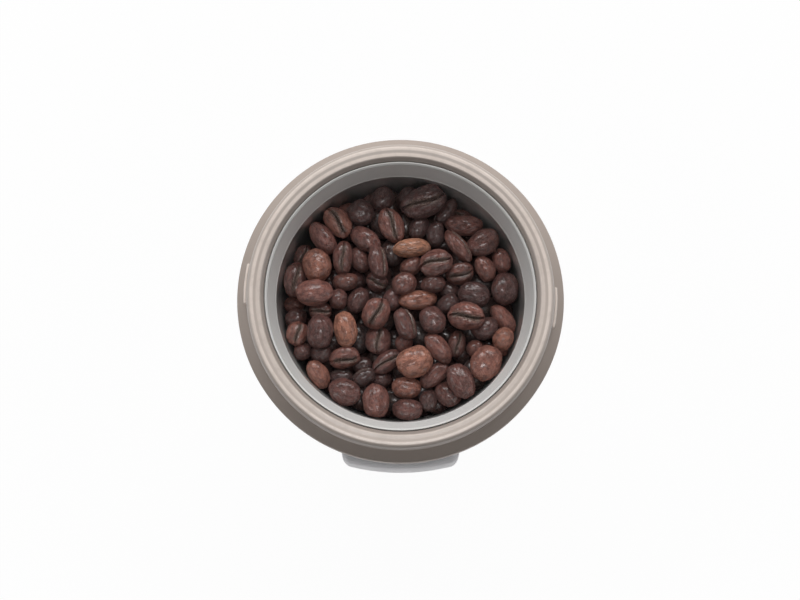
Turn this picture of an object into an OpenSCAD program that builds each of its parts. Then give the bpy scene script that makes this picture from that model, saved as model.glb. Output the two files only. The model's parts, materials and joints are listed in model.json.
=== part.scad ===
// Electric spice grinder: a tapered housing that stands on rubber feet, a
// steel bowl with a spinning blade under a bayonet collar, and a press bar at
// the front. Millimetres, +Z up, origin at the middle of the foot print, the
// press bar faces -Y.

/* [Housing] */
// Height from the table to the rim of the collar
body_h = 150; // [146:1:182]
// Outer diameter of the top ring
ring_d = 100; // [98:1:122]
// How much narrower the foot is than the top of the housing, on the radius
taper = 3.1; // [0:0.1:4]
// Wall of the housing
shell_t = 2.2; // [1.8:0.1:2.8]
// Gap between moulded parts that fit into each other
fit_gap = 0.3; // [0.2:0.05:0.4]
// Gap all round between a moving part and its guide
slide_gap = 0.4; // [0.3:0.05:0.6]

/* [Top ring] */
// Height of the collar above the shoulder
collar_h = 6.3; // [5:0.1:9]
// Thickness of the collar at its foot
collar_t = 4.5; // [4.2:0.1:6]
// Width of the sloping shoulder outside the collar
shoulder_w = 3.6; // [3:0.1:5]
// Fall of the shoulder from the collar to the skirt
shoulder_fall = 2.7; // [1.5:0.1:3.5]
// Height of the skirt below the shoulder
skirt_h = 5; // [3:0.5:8]
// Wall of the skirt
skirt_t = 1.6; // [1.2:0.1:2]
// Open gap between the skirt and the housing
shadow_gap = 1.8; // [1:0.1:2.4]
// Length of the spigot that enters the housing
spigot_h = 9.5; // [6:0.5:14]
// Wall of the spigot
spigot_t = 1.6; // [1.2:0.1:2]
// How far a bayonet lug stands out of the collar
lug_out = 1.3; // [0.8:0.1:2]
// Height of a bayonet lug
lug_h = 2.5; // [2:0.1:4]
// Angle that a bayonet lug covers
lug_span = 15; // [8:1:24]

/* [Bowl] */
// Depth of the bowl from the rim of the collar to its floor
bowl_depth = 46; // [40:1:52]
// Sheet thickness of the bowl
bowl_t = 0.8; // [0.6:0.1:1.2]
// Height of the sloping band under the lip
band_h = 6.4; // [5:0.1:9]
// How far the sloping band leads inwards
band_in = 2.2; // [1:0.1:3]
// Draft of the bowl wall, in degrees
bowl_draft = 6.7; // [2:0.1:8]
// Radius between the bowl wall and its floor
bowl_corner = 10; // [6:1:14]
// Diameter of the hole in the bowl floor
bowl_hole_d = 14; // [12:0.5:16]

/* [Blade] */
// Least gap between the blade tips and the bowl wall
blade_tip_gap = 6; // [4:0.5:12]
// Width of a blade wing
blade_w = 11; // [8:0.5:14]
// Sheet thickness of the blade
blade_t = 1.5; // [1:0.1:2]
// Height of the blade above the bowl floor
blade_lift = 5.5; // [5:0.5:9]
// Angle that a blade tip is bent up
blade_bend = 22; // [0:1:35]

/* [Motor] */
// Width of the stator stack, side to side
stator_w = 60; // [58:1:62]
// Depth of the stator stack, front to back
stator_d = 48; // [46:1:48]
// Height of the stator stack
stack_h = 22; // [16:1:22]
// Diameter of the rotor
rotor_d = 31; // [28:0.5:32]
// Air gap between the rotor and the pole shoes
air_gap = 0.7; // [0.5:0.1:1]
// Diameter of the motor shaft
shaft_d = 6; // [5:0.5:7]
// Diameter of the commutator
commutator_d = 22; // [20:1:23]
// Diameter of the cooling fan
fan_d = 50; // [40:1:56]
// Number of fan blades
fan_blades = 9; // [5:1:13]
// Radial running gap of the shaft in its bushes
bush_gap = 0.04; // [0.02:0.01:0.08]

/* [Press bar] */
// Width of the press bar
button_w = 40; // [36:1:41]
// Height of the press bar
button_h = 24; // [22:1:28]
// How far the press bar's middle lies below the rim of the collar
button_drop = 80; // [76:1:82]
// How far the press bar stands out of the housing
button_out = 5.1; // [4.5:0.1:7]
// Travel of the press bar
button_travel = 3; // [2:0.1:3.2]
// Wall of the press bar
button_t = 1.8; // [1.4:0.1:2.2]
// Plan radius of the press bar's face
button_face_r = 72; // [60:1:90]

/* [Base] */
// Thickness of the base plate
base_t = 3; // [2.6:0.1:4]
// Clear height under the base plate
foot_h = 2.2; // [1.5:0.1:4]
// Diameter of a rubber foot
foot_d = 12; // [10:0.5:14]
// Distance of the feet from the middle
foot_place = 33; // [28:0.5:33]
// Height of the cord inlet above the table
inlet_z = 16; // [14:0.5:20]
// Bore of the cord inlet
inlet_d = 6.6; // [5:0.1:7.5]
// How far the seam of the foot band lies above the cord inlet
seam_rise = 14; // [13:1:20]

/* [Hidden] */
$fn = 96;
eps = 0.01;

// How far a cut runs past the solid that it cuts
over = 1;

taupe = [0.68, 0.62, 0.58];
white = [0.93, 0.92, 0.91];
steel = [0.78, 0.78, 0.77];
lamination = [0.42, 0.43, 0.45];
copper = [0.72, 0.42, 0.22];
brass = [0.80, 0.66, 0.34];
black = [0.10, 0.10, 0.11];
grey = [0.45, 0.46, 0.48];
red = [0.70, 0.12, 0.10];
blue = [0.12, 0.30, 0.62];
brown = [0.42, 0.24, 0.14];
yellow = [0.86, 0.70, 0.16];

// Top ring: radii and heights of its section
ring_r = ring_d / 2;
collar_r = ring_r - shoulder_w;
collar_lean = 0.4;
collar_in_r = collar_r - collar_t;
collar_round = 1.2;
crown_w = 0.9;
crown_step = 0.9;
crown_step_r = 0.95;
collar_foot_h = 0.3;
collar_foot_w = 0.25;
ledge_drop = 1.2;
ledge_round = 0.4;
skirt_round = 0.7;
shoulder_z = body_h - collar_h;
skirt_top_z = shoulder_z - shoulder_fall;
skirt_z = skirt_top_z - skirt_h;
skirt_lean = 0.5;
lug_lead = -12;
lug_rise = 0.6;
lug_root = 0.8;
lug_bevel = 1;
lug_top_z = shoulder_z + lug_h + lug_rise;

// Housing: a straight taper between its foot and the underside of the ring
top_r = ring_r - skirt_t - shadow_gap;
foot_r = top_r - taper;
ring_seat_t = 1.5;
shell_top_z = skirt_top_z - ring_seat_t;
shell_chamfer = 0.8;
spigot_z = shell_top_z - spigot_h;
spigot_r = shell_in(spigot_z) - fit_gap;
snap_w = 10;
snap_h = 2;
snap_out = 0.9;
snap_rise = 1.5;
rib_root = 0.5;
post_rib_t = 2;
snap_angles = [45, 135, 225, 315];

// Bowl: its section runs from the lip down to the hole in the floor
groove = 0.4;
lip_r = collar_in_r - groove;
lip_drop = 1;
lip_bend = 0.65;
lip_skirt = 1.55;
lip_curl = 0.5;
lip_z = body_h - lip_drop - lip_bend;
lip_in_r = lip_r - 2 * lip_bend;
lip_foot_z = lip_z - lip_skirt;
band_drop = 1.8;
band_z = body_h - band_drop;
band_foot_z = band_z - band_h;
band_foot_r = lip_in_r - band_in;
bowl_step = 0.3;
step_fall = 0.1;
floor_z = body_h - bowl_depth;
wall_top_r = band_foot_r - bowl_step;
under_bowl_z = floor_z - bowl_t;

// Gasket between the lip and the seat in the ring
gasket_h = 1.2;
gasket_t = 0.9;
gasket_play = 0.2;
seat_w = 0.8;
seat_t = 2.4;
seat_slope = 1.7;
seat_z = lip_foot_z - gasket_h;
seat_in_r = lip_r - seat_w;

// Motor deck: carries the bowl from below and the motor from above
deck_t = 3;
deck_drop = 8.2;
deck_top_z = under_bowl_z - deck_drop;
deck_z = deck_top_z - deck_t;
deck_r = shell_in(deck_z) - fit_gap;
deck_boss_r = 3.4;
deck_boss_h = 10;
deck_boss_gap = 1.4;
deck_boss_place = shell_in(deck_z) - deck_boss_r - deck_boss_gap;
deck_angles = [35, 145, 215, 325];
deck_rib_r = 21;
deck_rib_t = 2;
deck_slots = 6;
deck_slot_in = 27;
deck_slot_l = 8;
deck_slot_w = 4;
screw_r = 1.5;
screw_hole_r = 1.25;
screw_head_r = 2.8;
screw_head_h = 1.8;
screw_l = 10;
screw_play = 0.2;
screw_grip = 0.02;
hex_socket = 0.45;

// Motor: hangs from the deck, every level counts down from there
mount_gap = 9;
grommet_h = 4;
grommet_r = 4.4;
mount_leg_r = 4;
mount_bite = 6;
bracket_t = 3;
mount_z = deck_z - mount_gap - grommet_h;
upper_plate_z = mount_z - bracket_t;
end_turn_h = 6;
upper_post_h = 10;
stack_top_z = upper_plate_z - upper_post_h;
stack_z = stack_top_z - stack_h;
lower_post_h = 17;
lower_plate_top_z = stack_z - lower_post_h;
lower_plate_z = lower_plate_top_z - bracket_t;
mount_x = 14;
mount_y = 19;
bolt_edge = 4;
bolt_x = stator_w / 2 - bolt_edge;
bolt_y = stator_d / 2 - bolt_edge;
bolt_r = 1.75;
bolt_hole_r = 1.9;
bolt_head_r = 3.2;
bolt_head_h = 2.4;
bolt_end_l = 3;
post_r = 3.4;
plate_corner = 5;
window_w = 8;
window_d = 18;
window_place = 17;
window_round = 2;
yoke_w = 6.5;
yoke_d = 6;
pole_w = 14;
shoe_t = 3.2;
shoe_half_angle = 58;
stator_bore_r = rotor_d / 2 + air_gap;
shoe_r = stator_bore_r + shoe_t;
window_x = stator_w / 2 - yoke_w;
window_y = stator_d / 2 - yoke_d;
coil_gap = 0.3;
coil_w = 8.2;
coil_round = 4;
shaft_r = shaft_d / 2;
rotor_r = rotor_d / 2;
rotor_slots = 12;
slot_w = 2.2;
slot_depth = 6.5;
winding_gap = 0.2;
winding_over = 0.5;
end_turn_in = 1;
end_turn_slope = 2.2;
end_turn_side = 0.55;
commutator_r = commutator_d / 2;
commutator_h = 9.5;
commutator_lift = 3;
commutator_z = lower_plate_top_z + commutator_lift;
commutator_bars = 24;
bar_gap = 0.4;
bar_gap_depth = 0.7;
riser_h = 1.5;
riser_out = 0.9;
bush_r = 6.5;
bush_h = 8;
boss_wall = 3;
boss_lap = 0.3;
press_gap = 0.03;
upper_bush_sink = 1;
lower_bush_sink = 3;
upper_bush_z = upper_plate_z - upper_bush_sink;
lower_bush_z = lower_plate_z - lower_bush_sink;
washer_t = 0.8;
washer_r = 5.2;
end_play = 0.2;
fan_r = fan_d / 2;
fan_play = 0.5;
fan_top_z = lower_bush_z - washer_t - fan_play;
fan_h = 8.5;
fan_plate_t = 1.2;
fan_blade_t = 1.2;
fan_hub_r = 6;
fan_blade_cut = 0.5;
shaft_end_l = 1.5;
shaft_z = fan_top_z - fan_h - shaft_end_l;

// Brushes: front and back of the commutator
brush_z = commutator_z + commutator_h / 2;
brush_w = 5;
brush_h = 8;
brush_l = 10;
brush_gap = 0.3;
brush_play = 0.1;
holder_t = 0.8;
holder_gap = 1.6;
holder_in = commutator_r + holder_gap;
holder_l = 17.5;
holder_end_t = 1;
holder_out = holder_in + holder_l;
holder_w = brush_w + 2 * holder_t + 2 * brush_play;
holder_h = brush_h + 2 * holder_t + 2 * brush_play;
tower_gap = 3;
tower_in = commutator_r + tower_gap;
tower_edge = 0.2;
tower_out = stator_d / 2 - tower_edge;
tower_wall = 1.6;
brush_spring_r = 1.9;
brush_spring_turns = 4;
spring_gap = 0.05;
spring_sides = 6;
spring_steps = 12;
brush_back = commutator_r + brush_gap + brush_l;

// Blade and the parts that hold it
seal_flange_r = 9.5;
seal_flange_h = 1.2;
seal_r = 9;
seal_h = 6;
seal_play = 0.1;
seal_cup_t = 2;
seal_lip_gap = 0.06;
seal_neck = 1;
flange_gap = 0.05;
spacer_r = 6;
spacer_gap = 0.3;
spacer_z = floor_z + seal_flange_h + spacer_gap;
blade_z = floor_z + blade_lift;
blade_hub_r = 7;
blade_tip_z = blade_z + 6;
blade_r = wall_r(blade_tip_z) - blade_tip_gap;
blade_flat = blade_r * 0.62;
blade_heel = 5;
blade_toe = 3;
blade_toe_w = 4;
blade_nose = 0.5;
blade_nose_y = 1;
blade_hone = 1.5;
stud_r = 2.5;
stud_play = 0.05;
nut_r = 5.5;
nut_h = 5.5;
nut_dome_h = 2.5;
nut_dome = 0.86;
nut_cap_t = 1;
stud_top_z = blade_z + blade_t + nut_h - nut_cap_t;

// Press bar: it slides in along +Y, so every place counts from its face
button_z = body_h - button_drop;
wall_y = -shell_out(button_z);
face_y = wall_y - button_out;
button_round = 3;
button_crown_r = 60;
button_edge_r = 0.8;
button_fn = 200;
flange_t = 1.2;
flange_lap = 2;
flange_depth = 11.35;
flange_y = wall_y + flange_depth;
button_back_y = flange_y + flange_t;
frame_wall = 2.3;
frame_in_w = button_w + 2 * slide_gap;
frame_in_h = button_h + 2 * slide_gap;
frame_w = frame_in_w + 2 * frame_wall;
frame_h = frame_in_h + 2 * frame_wall;
frame_proud = 0.4;
frame_lead = 3;
saddle_lap = 3.8;
saddle_t = 1.6;
saddle_gap = 0.25;
boss_r = 2.6;
boss_l = 5;
boss_x = frame_w / 2 + boss_r;
cheek_t = 3.5;
cheek_lap = 1;
cheek_h = 8;
cheek_lead = 4;
cheek_back = 0.5;
plate_depth = 17.85;
plate_y = wall_y + plate_depth;
plate_t = 1.5;
plate_edge = 2.7;
plate_w = 2 * (boss_x + plate_edge);
plate_h = 28;
spring_x = 14.2;
spring_r = 2.3;
spring_wire_r = 0.35;
spring_turns = 7;
spring_play = 0.25;
spring_cup_t = 0.9;
spring_cup_depth = 1;
spring_end_gap = 0.1;
spring_seat_depth = 7.15;
spring_seat_y = face_y + spring_seat_depth;
spring_pocket_r = spring_r + spring_wire_r + spring_play;
spring_seat_r = spring_pocket_r + spring_cup_t;
spring_post_r = 1.5;
spring_post_h = 6;

// Microswitch with its lever and plunger, on the middle of the bracket
switch_w = 20;
switch_d = 10.2;
switch_t = 6.4;
switch_y = plate_y - switch_d;
shelf_t = 1.2;
shelf_d = 9;
hole_x = 4.75;
hole_y = switch_y + 5;
small_screw_r = 1.1;
small_head_r = 2;
small_head_h = 1.2;
bracket_screw_l = 5;
bracket_head_r = 2.4;
lever_pivot_x = -8.5;
lever_stand = 0.6;
lever_pivot_y = switch_y - lever_stand;
lever_rest = 12;
lever_l = 18;
lever_t = 0.4;
lever_w = 4;
lever_eye_r = 0.55;
lever_ear = 1;
lever_ear_z = 2.2;
lever_ear_play = 0.2;
lever_arm = 17;
plunger_arm = 5;
plunger_r = 0.8;
plunger_gap = 0.05;
plunger_l = 3.5;
plunger_tip = 0.55;
plunger_room = 0.5;
plunger_share = 0.3;
plunger_x = lever_pivot_x + plunger_arm;
plunger_y = lever_pivot_y - plunger_arm * sin(lever_rest) + plunger_tip;
rib_x = lever_pivot_x + lever_arm * cos(lever_rest);
rib_gap = 0.45;
rib_y = lever_pivot_y - lever_arm * sin(lever_rest) - lever_t / 2 - rib_gap;
rib_w = 2;
rib_h = 4;
rib_foot_y = face_y + button_t / 2 + 0.6;
tab_x = [-7, 0, 7];
tab_w = 4;
tab_t = 0.8;
tab_l = 5.5;
tab_root = 1.4;
tab_gap = 0.05;
tab_edge = 1.2;
tab_y = plate_y - tab_edge;
tab_foot_z = button_z - switch_t / 2 - tab_l;

// Base
base_top_z = foot_h + base_t;
base_r = shell_in(foot_h) - fit_gap;
foot_sink = 1.6;
foot_chamfer = 0.8;
foot_play = 0.2;
pocket_gap = 0.1;
foot_angles = [45, 135, 225, 315];
base_post_r = 3.4;
base_post_h = 13;
base_post_gap = 1.8;
base_post_place = shell_in(foot_h) - base_post_r - base_post_gap;
base_screw_angles = [22, 158, 202, 338];
base_screw_l = 12;
vent_count = 16;
vent_w = 2.4;
vent_in = 11;
vent_out = 25;
seam_z = inlet_z + seam_rise;
seam_chamfer = 0.35;
lap_h = 3.5;
lap_t = 1.2;
lap_slope = 1.5;
inlet_r = inlet_d / 2;
gland_wall = 1.8;
gland_r = inlet_r + gland_wall;
gland_flange_r = 6.8;
gland_flange_t = 3.6;
gland_rim_t = 1.6;
gland_shoulder = 0.4;
gland_l = 10;
gland_wall_y = shell_out(inlet_z);
gland_foot_y = gland_wall_y + fit_gap;
gland_mouth_y = gland_foot_y + gland_flange_t;
gland_in_y = gland_mouth_y - gland_l;
nut_wall = 2;
nut_t = 2.6;
nut_gap = 0.9;
nut_y = gland_wall_y - shell_t - nut_t - nut_gap;
thread_gap = 0.05;

// Parts that stand on the base plate, beside the fan
block_w = 14;
block_d = 8;
block_h = 9;
block_angle = 52;
wire_hole_r = 1.6;
clamp_hole_r = 1.8;
cap_w = 16;
cap_d = 7.5;
cap_h = 13;
cap_round = 1.2;
cap_angle = 128;
stand_gap = 9;
stand_place = fan_r + stand_gap;
cutout_w = 9;
cutout_t = 3;
cutout_gap = 0.2;
cutout_round = 2;

// Leads: soft tubes along points chosen by hand, counted from what their ends are fixed to
lead_r = 0.7;
lead_sides = 8;
lead_steps = 5;
block_top_z = base_top_z + block_h;
cutout_x = stator_w / 2 + cutout_gap;
cutout_z = stack_z + stack_h / 2 - cutout_w / 2;
live_route = [
    [21, 27, block_top_z + 1],
    [24.5, 24.5, block_top_z + 3.3],
    [31.5, 17.5, block_top_z + 6.3],
    [37.5, 6, block_top_z + 8.3],
    [38.5, -6, block_top_z + 11.3],
    [35, -18, tab_foot_z - 29.3],
    [27, tab_y + 0.4, tab_foot_z - 20.3],
    [16, tab_y - 2.6, tab_foot_z - 13.3],
    [9.5, tab_y - 1, tab_foot_z - 9.8],
    [7, tab_y, tab_foot_z - 5.8],
    [7, tab_y, tab_foot_z - 0.1]
];
neutral_route = [
    [17, 30, block_top_z + 1],
    [21, 28.5, block_top_z + 5.3],
    [28, 24, block_top_z + 13.3],
    [cutout_x + 3.8, 15.5, cutout_z - 13.5],
    [cutout_x + 5.3, 7.5, cutout_z - 6.5],
    [cutout_x + 2.4, 1.5, cutout_z - 3.1],
    [cutout_x + 1.5, 0, cutout_z - 1.5],
    [cutout_x + 1.5, 0, cutout_z - 0.15]
];
brush_route = [
    [-7, tab_y, tab_foot_z - 0.1],
    [-7, tab_y, tab_foot_z - 5.8],
    [-7.5, tab_y - 1, tab_foot_z - 10.3],
    [-7, -holder_out - 2.4, brush_z + 10.2],
    [-4, -holder_out - 3.9, brush_z + 4.7],
    [-1, -holder_out - 2.9, brush_z + 1.4],
    [0, -holder_out - 1.2, brush_z + 0.4]
];

// Outer and inner radius of the housing at a height
function shell_out(z) = foot_r + (top_r - foot_r) * (z - foot_h) / (shell_top_z - foot_h);
function shell_in(z) = shell_out(z) - shell_t;

// Inner radius of the bowl wall at a height
function wall_r(z) = wall_top_r - (band_foot_z - z) * tan(bowl_draft);

// Points of an arc in the section plane
function arc(c, r, a0, a1, n = 8) =
    [for (i = [0:n]) c + r * [cos(a0 + (a1 - a0) * i / n), sin(a0 + (a1 - a0) * i / n)]];

// One point of a smooth curve through p1 and p2
function smooth(p0, p1, p2, p3, t) =
    0.5 * (2 * p1 + (p2 - p0) * t + (2 * p0 - 5 * p1 + 4 * p2 - p3) * t * t
        + (3 * p1 - p0 - 3 * p2 + p3) * t * t * t);

// A smooth curve through all points of a route
function curve(route) = [
    for (i = [0:len(route) - 2], k = [0:lead_steps - 1])
        smooth(route[max(i - 1, 0)], route[i], route[i + 1],
            route[min(i + 2, len(route) - 1)], k / lead_steps),
    route[len(route) - 1]
];

// Points of a helix that climbs along +Z
function helix(r, length, turns, steps) = [
    for (i = [0:turns * steps])
        [r * cos(360 * i / steps), r * sin(360 * i / steps), length * i / (turns * steps)]
];

function unit(v) = v / norm(v);

// Direction of a path at its point i
function heading(path, i) =
    unit(path[min(i + 1, len(path) - 1)] - path[max(i - 1, 0)]);

// A round tube along a path
module sweep(path, r, sides) {
    away = unit([0.83, 0.41, 0.37]);
    n = len(path);
    rings = [
        for (i = [0:n - 1])
            let (t = heading(path, i), u = unit(cross(t, away)), v = cross(t, u))
                for (k = [0:sides - 1])
                    path[i] + r * (cos(360 * k / sides) * u + sin(360 * k / sides) * v)
    ];
    sleeve = [
        for (i = [0:n - 2], k = [0:sides - 1], half = [0, 1])
            let (a = i * sides + k, b = i * sides + (k + 1) % sides)
                half == 0 ? [a, b, b + sides] : [a, b + sides, a + sides]
    ];
    near_end = [for (k = [sides - 1:-1:0]) k];
    far_end = [for (k = [0:sides - 1]) (n - 1) * sides + k];
    polyhedron(points = rings, faces = concat([near_end], sleeve, [far_end]), convexity = 10);
}

// A ring with a plain rectangular section
module tube(r_out, r_in, h) {
    difference() {
        cylinder(r = r_out, h = h);
        bore(r_in, 0, h);
    }
}

// A hole from z0 to z1 that cuts clean through both ends
module bore(r, z0, z1) {
    translate([0, 0, z0 - over]) cylinder(r = r, h = z1 - z0 + 2 * over);
}

// A hole that comes up from under z0 and stops at z1
module blind_bore(r, z0, z1) {
    translate([0, 0, z0 - over]) cylinder(r = r, h = z1 - z0 + over);
}

// A rectangle with round corners, centred
module round_rect(w, d, r) {
    x = w / 2 - r;
    y = d / 2 - r;
    polygon(concat(
        arc([x, y], r, 0, 90, 6), arc([-x, y], r, 90, 180, 6),
        arc([-x, -y], r, 180, 270, 6), arc([x, -y], r, 270, 360, 6)
    ));
}

// A block with round corners that runs along +Y from y0 to y1, centred on the press bar
module front_block(w, h, r, y0, y1) {
    translate([0, y1, button_z]) rotate([90, 0, 0]) linear_extrude(y1 - y0) round_rect(w, h, r);
}

// A cylinder along +Y from y0 to y1
module front_pin(x, z, r, y0, y1) {
    translate([x, y0, z]) rotate([-90, 0, 0]) cylinder(r = r, h = y1 - y0);
}

// A solid of the housing's own taper, its face at a depth measured in from the outside
module taper_solid(depth, z0, z1) {
    translate([0, 0, z0]) cylinder(r1 = shell_out(z0) - depth, r2 = shell_out(z1) - depth, h = z1 - z0);
}

// Copies at a distance from the middle, at each of the angles
module around(angles, place) {
    for (a = angles) rotate([0, 0, a]) translate([place, 0, 0]) children();
}

// Copies at the four corners of a rectangle
module corners(x, y) {
    for (sx = [-1, 1], sy = [-1, 1]) translate([sx * x, sy * y, 0]) children();
}

// A screw that points down from the origin, its head above the origin
module screw_down(r, l, head_r, head_h) {
    translate([0, 0, -l]) cylinder(r = r, h = l + eps);
    difference() {
        cylinder(r = head_r, h = head_h);
        translate([0, 0, head_h / 2]) cylinder(r = head_r * hex_socket, h = head_h, $fn = 6);
    }
}

module collar_ring() {
    crown_r = collar_r - collar_lean - collar_round;
    step_r = crown_r - crown_w - crown_step;
    color(taupe) {
        rotate_extrude() polygon(concat(
            [[spigot_r - spigot_t, spigot_z], [spigot_r - spigot_t, seat_z - seat_t - seat_slope]],
            [[seat_in_r, seat_z - seat_t], [seat_in_r, seat_z], [collar_in_r, seat_z]],
            arc([collar_in_r + ledge_round, body_h - ledge_drop - ledge_round], ledge_round, 180, 90, 4),
            [[step_r, body_h - ledge_drop]],
            arc([step_r + crown_step_r, body_h - crown_step_r], crown_step_r, 195, 90, 5),
            arc([crown_r, body_h - collar_round], collar_round, 90, 4, 8),
            [[collar_r, shoulder_z + collar_foot_h], [collar_r + collar_foot_w, shoulder_z]],
            arc([ring_r - skirt_round, skirt_top_z - skirt_round + skirt_lean], skirt_round, 62, 0, 6),
            [[ring_r, skirt_z], [ring_r - skirt_t, skirt_z], [ring_r - skirt_t, shell_top_z]],
            [[spigot_r, shell_top_z], [spigot_r, spigot_z]]
        ));
        for (a = [0, 180]) rotate([0, 0, a]) lug();
        intersection() {
            translate([0, 0, spigot_z + snap_rise])
                tube(spigot_r + snap_out, spigot_r - spigot_t / 2, snap_h);
            snap_sectors(0);
        }
    }
}

// The four sectors that the spigot's snap tabs fill, wider by a gap on each side
module snap_sectors(gap) {
    for (a = snap_angles) rotate([0, 0, a]) translate([0, -snap_w / 2 - gap, spigot_z])
        cube([ring_r, snap_w + 2 * gap, spigot_h]);
}

// One bayonet lug, with bevelled ends, on the side of the collar
module lug() {
    translate([0, 0, lug_top_z - lug_h]) linear_extrude(lug_h) polygon(concat(
        arc([0, 0], collar_r - lug_root, lug_lead + lug_span, lug_lead, 6),
        arc([0, 0], collar_r + lug_out, lug_lead + lug_bevel, lug_lead + lug_span - lug_bevel, 12)
    ));
}

module grinding_bowl() {
    corner_z = floor_z + bowl_corner;
    corner_x = wall_r(corner_z) - bowl_corner;
    color(steel) rotate_extrude() polygon(concat(
        [[bowl_hole_d / 2, under_bowl_z], [bowl_hole_d / 2, floor_z]],
        arc([corner_x, corner_z], bowl_corner, -90, -bowl_draft, 12),
        [[wall_top_r, band_foot_z], [band_foot_r, band_foot_z + step_fall], [lip_in_r, band_z]],
        arc([lip_r - lip_bend, lip_z], lip_bend, 180, 0, 10),
        [[lip_r, lip_foot_z], [lip_in_r + bowl_t - lip_curl, lip_foot_z]],
        [[band_foot_r + bowl_t, band_foot_z], [wall_top_r + bowl_t, band_foot_z - bowl_step]],
        arc([corner_x, corner_z], bowl_corner + bowl_t, -bowl_draft, -90, 12)
    ));
}

module bowl_gasket() {
    gasket_r = lip_r + gasket_play;
    color(black) translate([0, 0, seat_z]) tube(gasket_r, gasket_r - gasket_t, gasket_h);
}

// The housing above the seam
module body_shell() {
    sleeve_z = seam_z + fit_gap;
    color(white) {
        difference() {
            rotate_extrude() polygon([
                [shell_in(sleeve_z), sleeve_z],
                [shell_out(sleeve_z) - seam_chamfer, sleeve_z],
                [shell_out(sleeve_z + seam_chamfer), sleeve_z + seam_chamfer],
                [top_r, shell_top_z],
                [top_r - shell_t, shell_top_z]
            ]);
            front_block(frame_w + 2 * fit_gap, frame_h + 2 * fit_gap, button_round, face_y - over, flange_y);
            intersection() {
                translate([0, 0, spigot_z + snap_rise - fit_gap])
                    tube(spigot_r + snap_out + fit_gap, spigot_r - spigot_t, snap_h + 2 * fit_gap);
                snap_sectors(fit_gap);
            }
        }
        around(deck_angles, deck_boss_place)
            shell_post(deck_boss_place, deck_boss_r, deck_z - deck_boss_h, deck_boss_h, deck_boss_h + over);
    }
}

// The housing below the seam: its spigot enters the shell above
module foot_band() {
    lap_r = shell_in(seam_z) - fit_gap;
    lap_foot_z = seam_z - lap_h;
    color(white) {
        difference() {
            rotate_extrude() polygon([
                [shell_in(foot_h), foot_h],
                [shell_out(foot_h) - shell_chamfer, foot_h],
                [shell_out(foot_h + shell_chamfer), foot_h + shell_chamfer],
                [shell_out(seam_z - seam_chamfer), seam_z - seam_chamfer],
                [shell_out(seam_z) - seam_chamfer, seam_z],
                [lap_r, seam_z],
                [lap_r, seam_z + lap_h],
                [lap_r - lap_t, seam_z + lap_h],
                [lap_r - lap_t, lap_foot_z],
                [shell_in(lap_foot_z - lap_slope), lap_foot_z - lap_slope]
            ]);
            front_pin(0, inlet_z, gland_r + fit_gap, gland_in_y, gland_mouth_y + over);
        }
        around(base_screw_angles, base_post_place)
            shell_post(base_post_place, base_post_r, base_top_z, base_post_h, base_screw_l);
    }
}

// A screw post inside the housing, tied to the wall by a rib; z is its foot, place its distance
// from the middle, and its hole runs up from under the foot
module shell_post(place, r, z, h, hole_l) {
    difference() {
        union() {
            translate([0, 0, z]) cylinder(r = r, h = h);
            translate([0, -post_rib_t / 2, z]) cube([shell_in(z) + rib_root - place, post_rib_t, h]);
        }
        blind_bore(screw_hole_r, z, z + hole_l);
    }
}

module motor_deck() {
    color(grey) difference() {
        union() {
            translate([0, 0, deck_z]) cylinder(r = deck_r, h = deck_t);
            translate([0, 0, deck_top_z - eps])
                tube(deck_rib_r + deck_rib_t / 2, deck_rib_r - deck_rib_t / 2, deck_drop + eps);
            translate([0, 0, deck_z]) cylinder(r = seal_r + seal_cup_t, h = deck_t + deck_drop);
            corners(mount_x, mount_y) translate([0, 0, deck_z - mount_gap])
                cylinder(r = mount_leg_r, h = mount_gap + eps);
        }
        translate([0, 0, under_bowl_z - seal_h]) cylinder(r = seal_r + seal_play, h = seal_h + over);
        blind_bore(bush_r, deck_z, under_bowl_z - over);
        corners(mount_x, mount_y) blind_bore(screw_hole_r, deck_z - mount_gap, deck_z);
        around(deck_angles, deck_boss_place) bore(screw_r + screw_play, deck_z, deck_top_z);
        for (i = [0:deck_slots - 1]) rotate([0, 0, 360 * i / deck_slots])
            translate([deck_slot_in, -deck_slot_w / 2, deck_z - over])
                cube([deck_slot_l, deck_slot_w, deck_t + 2 * over]);
    }
}

module deck_screws() {
    color(steel) around(deck_angles, deck_boss_place) translate([0, 0, deck_top_z])
        screw_down(screw_hole_r - screw_grip, screw_l, screw_head_r, screw_head_h);
}

module base_plate() {
    color(black) difference() {
        translate([0, 0, foot_h]) cylinder(r = base_r, h = base_t);
        around(foot_angles, foot_place)
            blind_bore(foot_d / 2 + foot_play, foot_h, foot_h + foot_sink + pocket_gap);
        around(base_screw_angles, base_post_place) {
            bore(screw_r + screw_play, foot_h, base_top_z);
            blind_bore(screw_head_r + screw_play, foot_h, foot_h + screw_head_h + pocket_gap);
        }
        for (i = [0:vent_count - 1]) rotate([0, 0, 360 * i / vent_count])
            translate([vent_in, -vent_w / 2, foot_h - over])
                cube([vent_out - vent_in, vent_w, base_t + 2 * over]);
    }
}

module base_screws() {
    color(steel) around(base_screw_angles, base_post_place) translate([0, 0, foot_h + screw_head_h])
        mirror([0, 0, 1]) screw_down(screw_hole_r - screw_grip, screw_l, screw_head_r, screw_head_h);
}

module rubber_feet() {
    color(black) around(foot_angles, foot_place) rotate_extrude() polygon([
        [0, 0],
        [foot_d / 2 - foot_chamfer, 0],
        [foot_d / 2, foot_chamfer],
        [foot_d / 2, foot_h + foot_sink],
        [0, foot_h + foot_sink]
    ]);
}

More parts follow.
